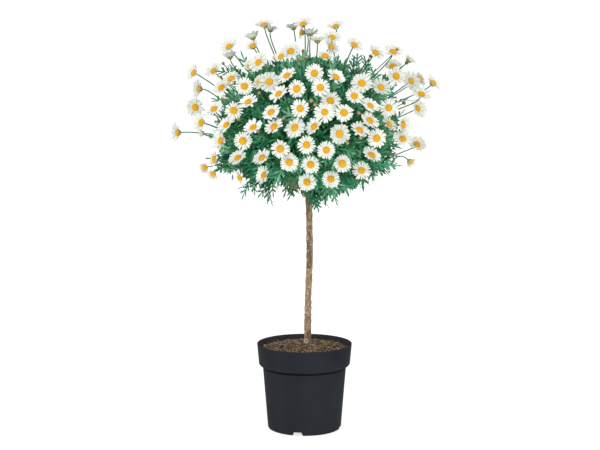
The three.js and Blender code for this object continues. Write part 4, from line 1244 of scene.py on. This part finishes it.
def petals(draw):
    """Grooved strips round each flower: from the button's edge each runs out by the cosine and up by the
    sine of its rise, which changes along it. It has a narrow foot, a broad middle and a blunt tip."""
    count = draw.integers(*PETAL_COUNTS, len(centres))
    owner, number = np.nonzero(np.arange(PETAL_COUNTS[1]) < count[:, None])
    first_turn = draw.uniform(0, 2 * np.pi, len(centres))[owner]
    place = number + draw.uniform(-PETAL_UNEVEN, PETAL_UNEVEN, len(owner))
    turn = first_turn + 2 * np.pi * place / count[owner]
    side, other = round_face(faces)
    cos, sin = np.cos(turn)[:, None], np.sin(turn)[:, None]
    outward = cos * side[owner] + sin * other[owner]
    around = cos * other[owner] - sin * side[owner]
    start = (np.interp(rise, START_RISES, START_SHARES) * button / size)[owner, None]
    length = draw.uniform(*PETAL_LENGTHS, (len(owner), 1)) - start
    begin = rise[owner] + draw.normal(0, RISE_SPREAD, len(owner)) + FOOT_RISE
    bend = draw.normal(*PETAL_BEND, len(owner))
    angle = begin[:, None] + bend[:, None] * PETAL_ROWS
    pace = np.diff(PETAL_ROWS, prepend=0) * length
    out = start + np.cumsum(pace * np.cos(angle), 1)
    up = np.cumsum(pace * np.sin(angle), 1) + UPPER_LAYER * (number % 2)[:, None]
    half = PETAL_HALF_WIDTH * draw.uniform(0.85, 1.15, len(owner))[:, None] * PETAL_HALF_WIDTHS
    half *= np.where(broad, BROAD, 1)[owner, None]
    across = half[..., None] * PETAL_COLUMNS
    groove = GROOVE_DEPTH * (PETAL_COLUMNS**2 - 0.5) * np.sin(np.pi * PETAL_ROWS)[:, None]
    twist = draw.normal(0, TWIST, len(owner))[:, None, None] * across
    tip = TOOTH * (1 - np.abs(PETAL_COLUMNS)) * (PETAL_ROWS == 1)[:, None]
    points = (
        (out[..., None] + tip)[..., None] * outward[:, None, None]
        + across[..., None] * around[:, None, None]
        + (up[..., None] + groove + twist)[..., None] * faces[owner][:, None, None]
    )
    points = centres[owner][:, None, None] + size[owner][:, None, None, None] * points
    rows, columns = len(PETAL_ROWS), len(PETAL_COLUMNS)
    return points.reshape(-1, 3), many(grid(rows, columns), len(owner), rows * columns), owner, number


def petal_finish(name, dark, middle, pale):
    """Thin white petal with a faint mottling."""
    return new_finish(name, 0.6, 0.2, (160, 3), {0.3: dark, 0.55: middle, 0.8: pale}, (0.0002, 900, 2))


# The soft and grey copies of the white serve as painted shade, and as tones dealt at random.
whites = [
    petal_finish("petal_white", (232, 236, 230), (240, 243, 238), (247, 248, 244)),
    petal_finish("petal_soft_tone_and_painted_shade", (218, 223, 212), (229, 233, 222), (238, 240, 230)),
    petal_finish("petal_grey_tone_and_painted_shade", (200, 208, 200), (212, 219, 210), (223, 228, 219)),
]
draw = np.random.default_rng(37)
# The front daisies' petal tints are painted shade; the other daisies' tints are dealt at random.
petal_tint = np.concatenate([front_painted_shade, draw.choice(3, len(back), p=[0.5, 0.3, 0.2])]).astype(int)
leaning = np.concatenate([lean, np.zeros(len(back))]) > BROAD_LEAN
broad = (petal_tint > 0) | leaning
points, triangles, owner, number = petals(draw)
per_petal = len(triangles) // len(owner)
# Every second petal lies under its neighbours and takes the next greyer tint, a painted shade, except on
# leaning daisies.
under_petal_painted_shade = (number % 2 == 0) & ~leaning[owner]
chosen = np.repeat(np.minimum(petal_tint[owner] + under_petal_painted_shade, 2), per_petal)
part_of_head(put("petals", points, triangles, whites, chosen))


# The button in the middle of each daisy is a dome of tiny yellow florets, with an orange ring of open ones
# round its foot. A cup of green-brown scales holds it from below, on the end of the stalk.
DOME = [
    [0.85, -0.14], [1, 0.04], [0.99, 0.27], [0.89, 0.5],
    [0.7, 0.64], [0.47, 0.69], [0.22, 0.67], [0.01, 0.65],
]
CUP = [[0.01, -0.8], [0.28, -0.78], [0.6, -0.64], [0.86, -0.38], [0.97, -0.08], [0.95, 0.06], [0.03, 0]]
DOME_COLUMNS = 16
CUP_COLUMNS = 12
ORANGE_ROWS = 2


def discs(profile, centres, faces, size, columns, rough=0.0):
    """A profile of [radius, height] carried round each flower's facing, closed at both ends on its axis."""
    side, other = round_face(faces)
    turns = full_circle(columns)[:, None]
    ring = np.cos(turns) * side[:, None] + np.sin(turns) * other[:, None]
    radius, height = np.asarray(profile).T
    points = radius[:, None, None] * ring[:, None] + height[:, None, None] * faces[:, None, None]
    points = centres[:, None, None] + size[:, None, None, None] * points
    points += rough * lumps(points, 900, 4)[..., None] * faces[:, None, None]
    triangles = grid(len(radius), columns, closed=True)
    return points.reshape(-1, 3), many(triangles, len(centres), len(radius) * columns)


def profile_rows(profile, columns, count):
    """For each triangle of so many discs, the number of the profile's row that it lies in."""
    return np.tile(np.repeat(np.arange(len(profile) - 1), columns), 2 * count)


def floret_finish(name, dark, middle, pale):
    """Close-set florets: a very fine mottling, with a relief of the same grain."""
    return new_finish(name, 0.8, 0.2, (1400, 2), {0.35: dark, 0.5: middle, 0.65: pale}, (0.0012, 1500, 1))


yellows = [
    floret_finish("button_yellow", (214, 144, 8), (240, 176, 18), (252, 202, 48)),
    floret_finish("button_orange", (186, 108, 8), (218, 140, 14), (238, 172, 34)),
]
points, triangles = discs(DOME, centres, faces, button, DOME_COLUMNS, 0.00022)
chosen = profile_rows(DOME, DOME_COLUMNS, len(centres)) < ORANGE_ROWS
part_of_head(put("buttons", points, triangles, yellows, chosen))
calyx_green = new_finish(
    "calyx_green", 0.7, 0.2, (420, 4), {0.3: (96, 118, 62), 0.5: (136, 144, 86), 0.7: (184, 166, 122)},
    (0.0006, 700, 2),
)
part_of_head(put("calyces", *discs(CUP, centres, faces, button, CUP_COLUMNS), [calyx_green]))


# The buds are small round balls on short stalks among the leaves: a cup of brown-edged green scales, closed
# over the folded petals, which show as a pale tan cap.
BUD_REACH = [0.188, 0.165, 0.128]
BUD_RADII = [0.0032, 0.0042]
BUD_STALK_LENGTH = 0.034
BUD_STALK_RADII = [0.001, 0.0009]
BACK_BUDS = 34
# Where the picture shows each bud, across and down in pixels.
BUDS = np.array([
    (223, 63.3), (220.8, 77), (259.6, 93), (303, 50.6), (300.3, 60), (306.3, 57.8), (370.5, 56),
    (404, 102.9), (311.2, 101), (315.2, 105), (258.3, 131.4), (283.3, 118.8), (239.1, 119.2),
    (358.5, 113.4), (360.3, 138), (347.3, 142.9), (394.6, 154), (326.3, 194.6), (406.7, 62.7),
    (395.5, 84.5), (397.5, 49.5), (251.5, 104),
])
BUD = [
    [0.02, -0.98], [0.5, -0.86], [0.86, -0.5], [1, 0],
    [0.9, 0.42], [0.62, 0.74], [0.3, 0.86], [0.02, 0.84],
]
BUD_COLUMNS = 12
BUD_CAP_ROW = 4

front_buds = seen_at(*BUDS.T, BUD_REACH, 0)
bud_ways = even_directions(BACK_BUDS, LOWEST_FLOWER)
bud_ways = bud_ways[bud_ways[:, 1] > BACK_FROM]
back_buds = surface_point(bud_ways, BUD_REACH, draw.uniform(0.95, 1.08, len(bud_ways)))
buds = np.concatenate([front_buds, back_buds])
bud_faces = unit(unit(buds - HEAD_CENTRE) + [0, 0, 0.5] + draw.uniform(-0.3, 0.3, buds.shape))
bud_radii = draw.uniform(*BUD_RADII, len(buds))
bud_stalks = on_stalks(buds, bud_faces, NECK_SHARE * bud_radii, BUD_STALK_LENGTH)
bud_stalk_lines = curve(bud_stalks, 10)
part_of_head(put("bud_stalks", *tapered(bud_stalk_lines, BUD_STALK_RADII, 6), [stalk_green]))
bud_scales = new_finish(
    "bud_scales", 0.7, 0.2, (500, 3), {0.3: (112, 112, 62), 0.5: (150, 124, 84), 0.7: (186, 140, 106)},
    (0.0006, 700, 2),
)
bud_cap = new_finish(
    "bud_cap", 0.7, 0.2, (500, 3), {0.3: (176, 134, 96), 0.5: (206, 170, 132), 0.7: (226, 204, 170)},
    (0.0004, 900, 2),
)
points, triangles = discs(BUD, buds, bud_faces, bud_radii, BUD_COLUMNS, 0.0002)
chosen = profile_rows(BUD, BUD_COLUMNS, len(buds)) >= BUD_CAP_ROW
part_of_head(put("buds", points, triangles, [bud_scales, bud_cap], chosen))


bpy.context.view_layer.update()
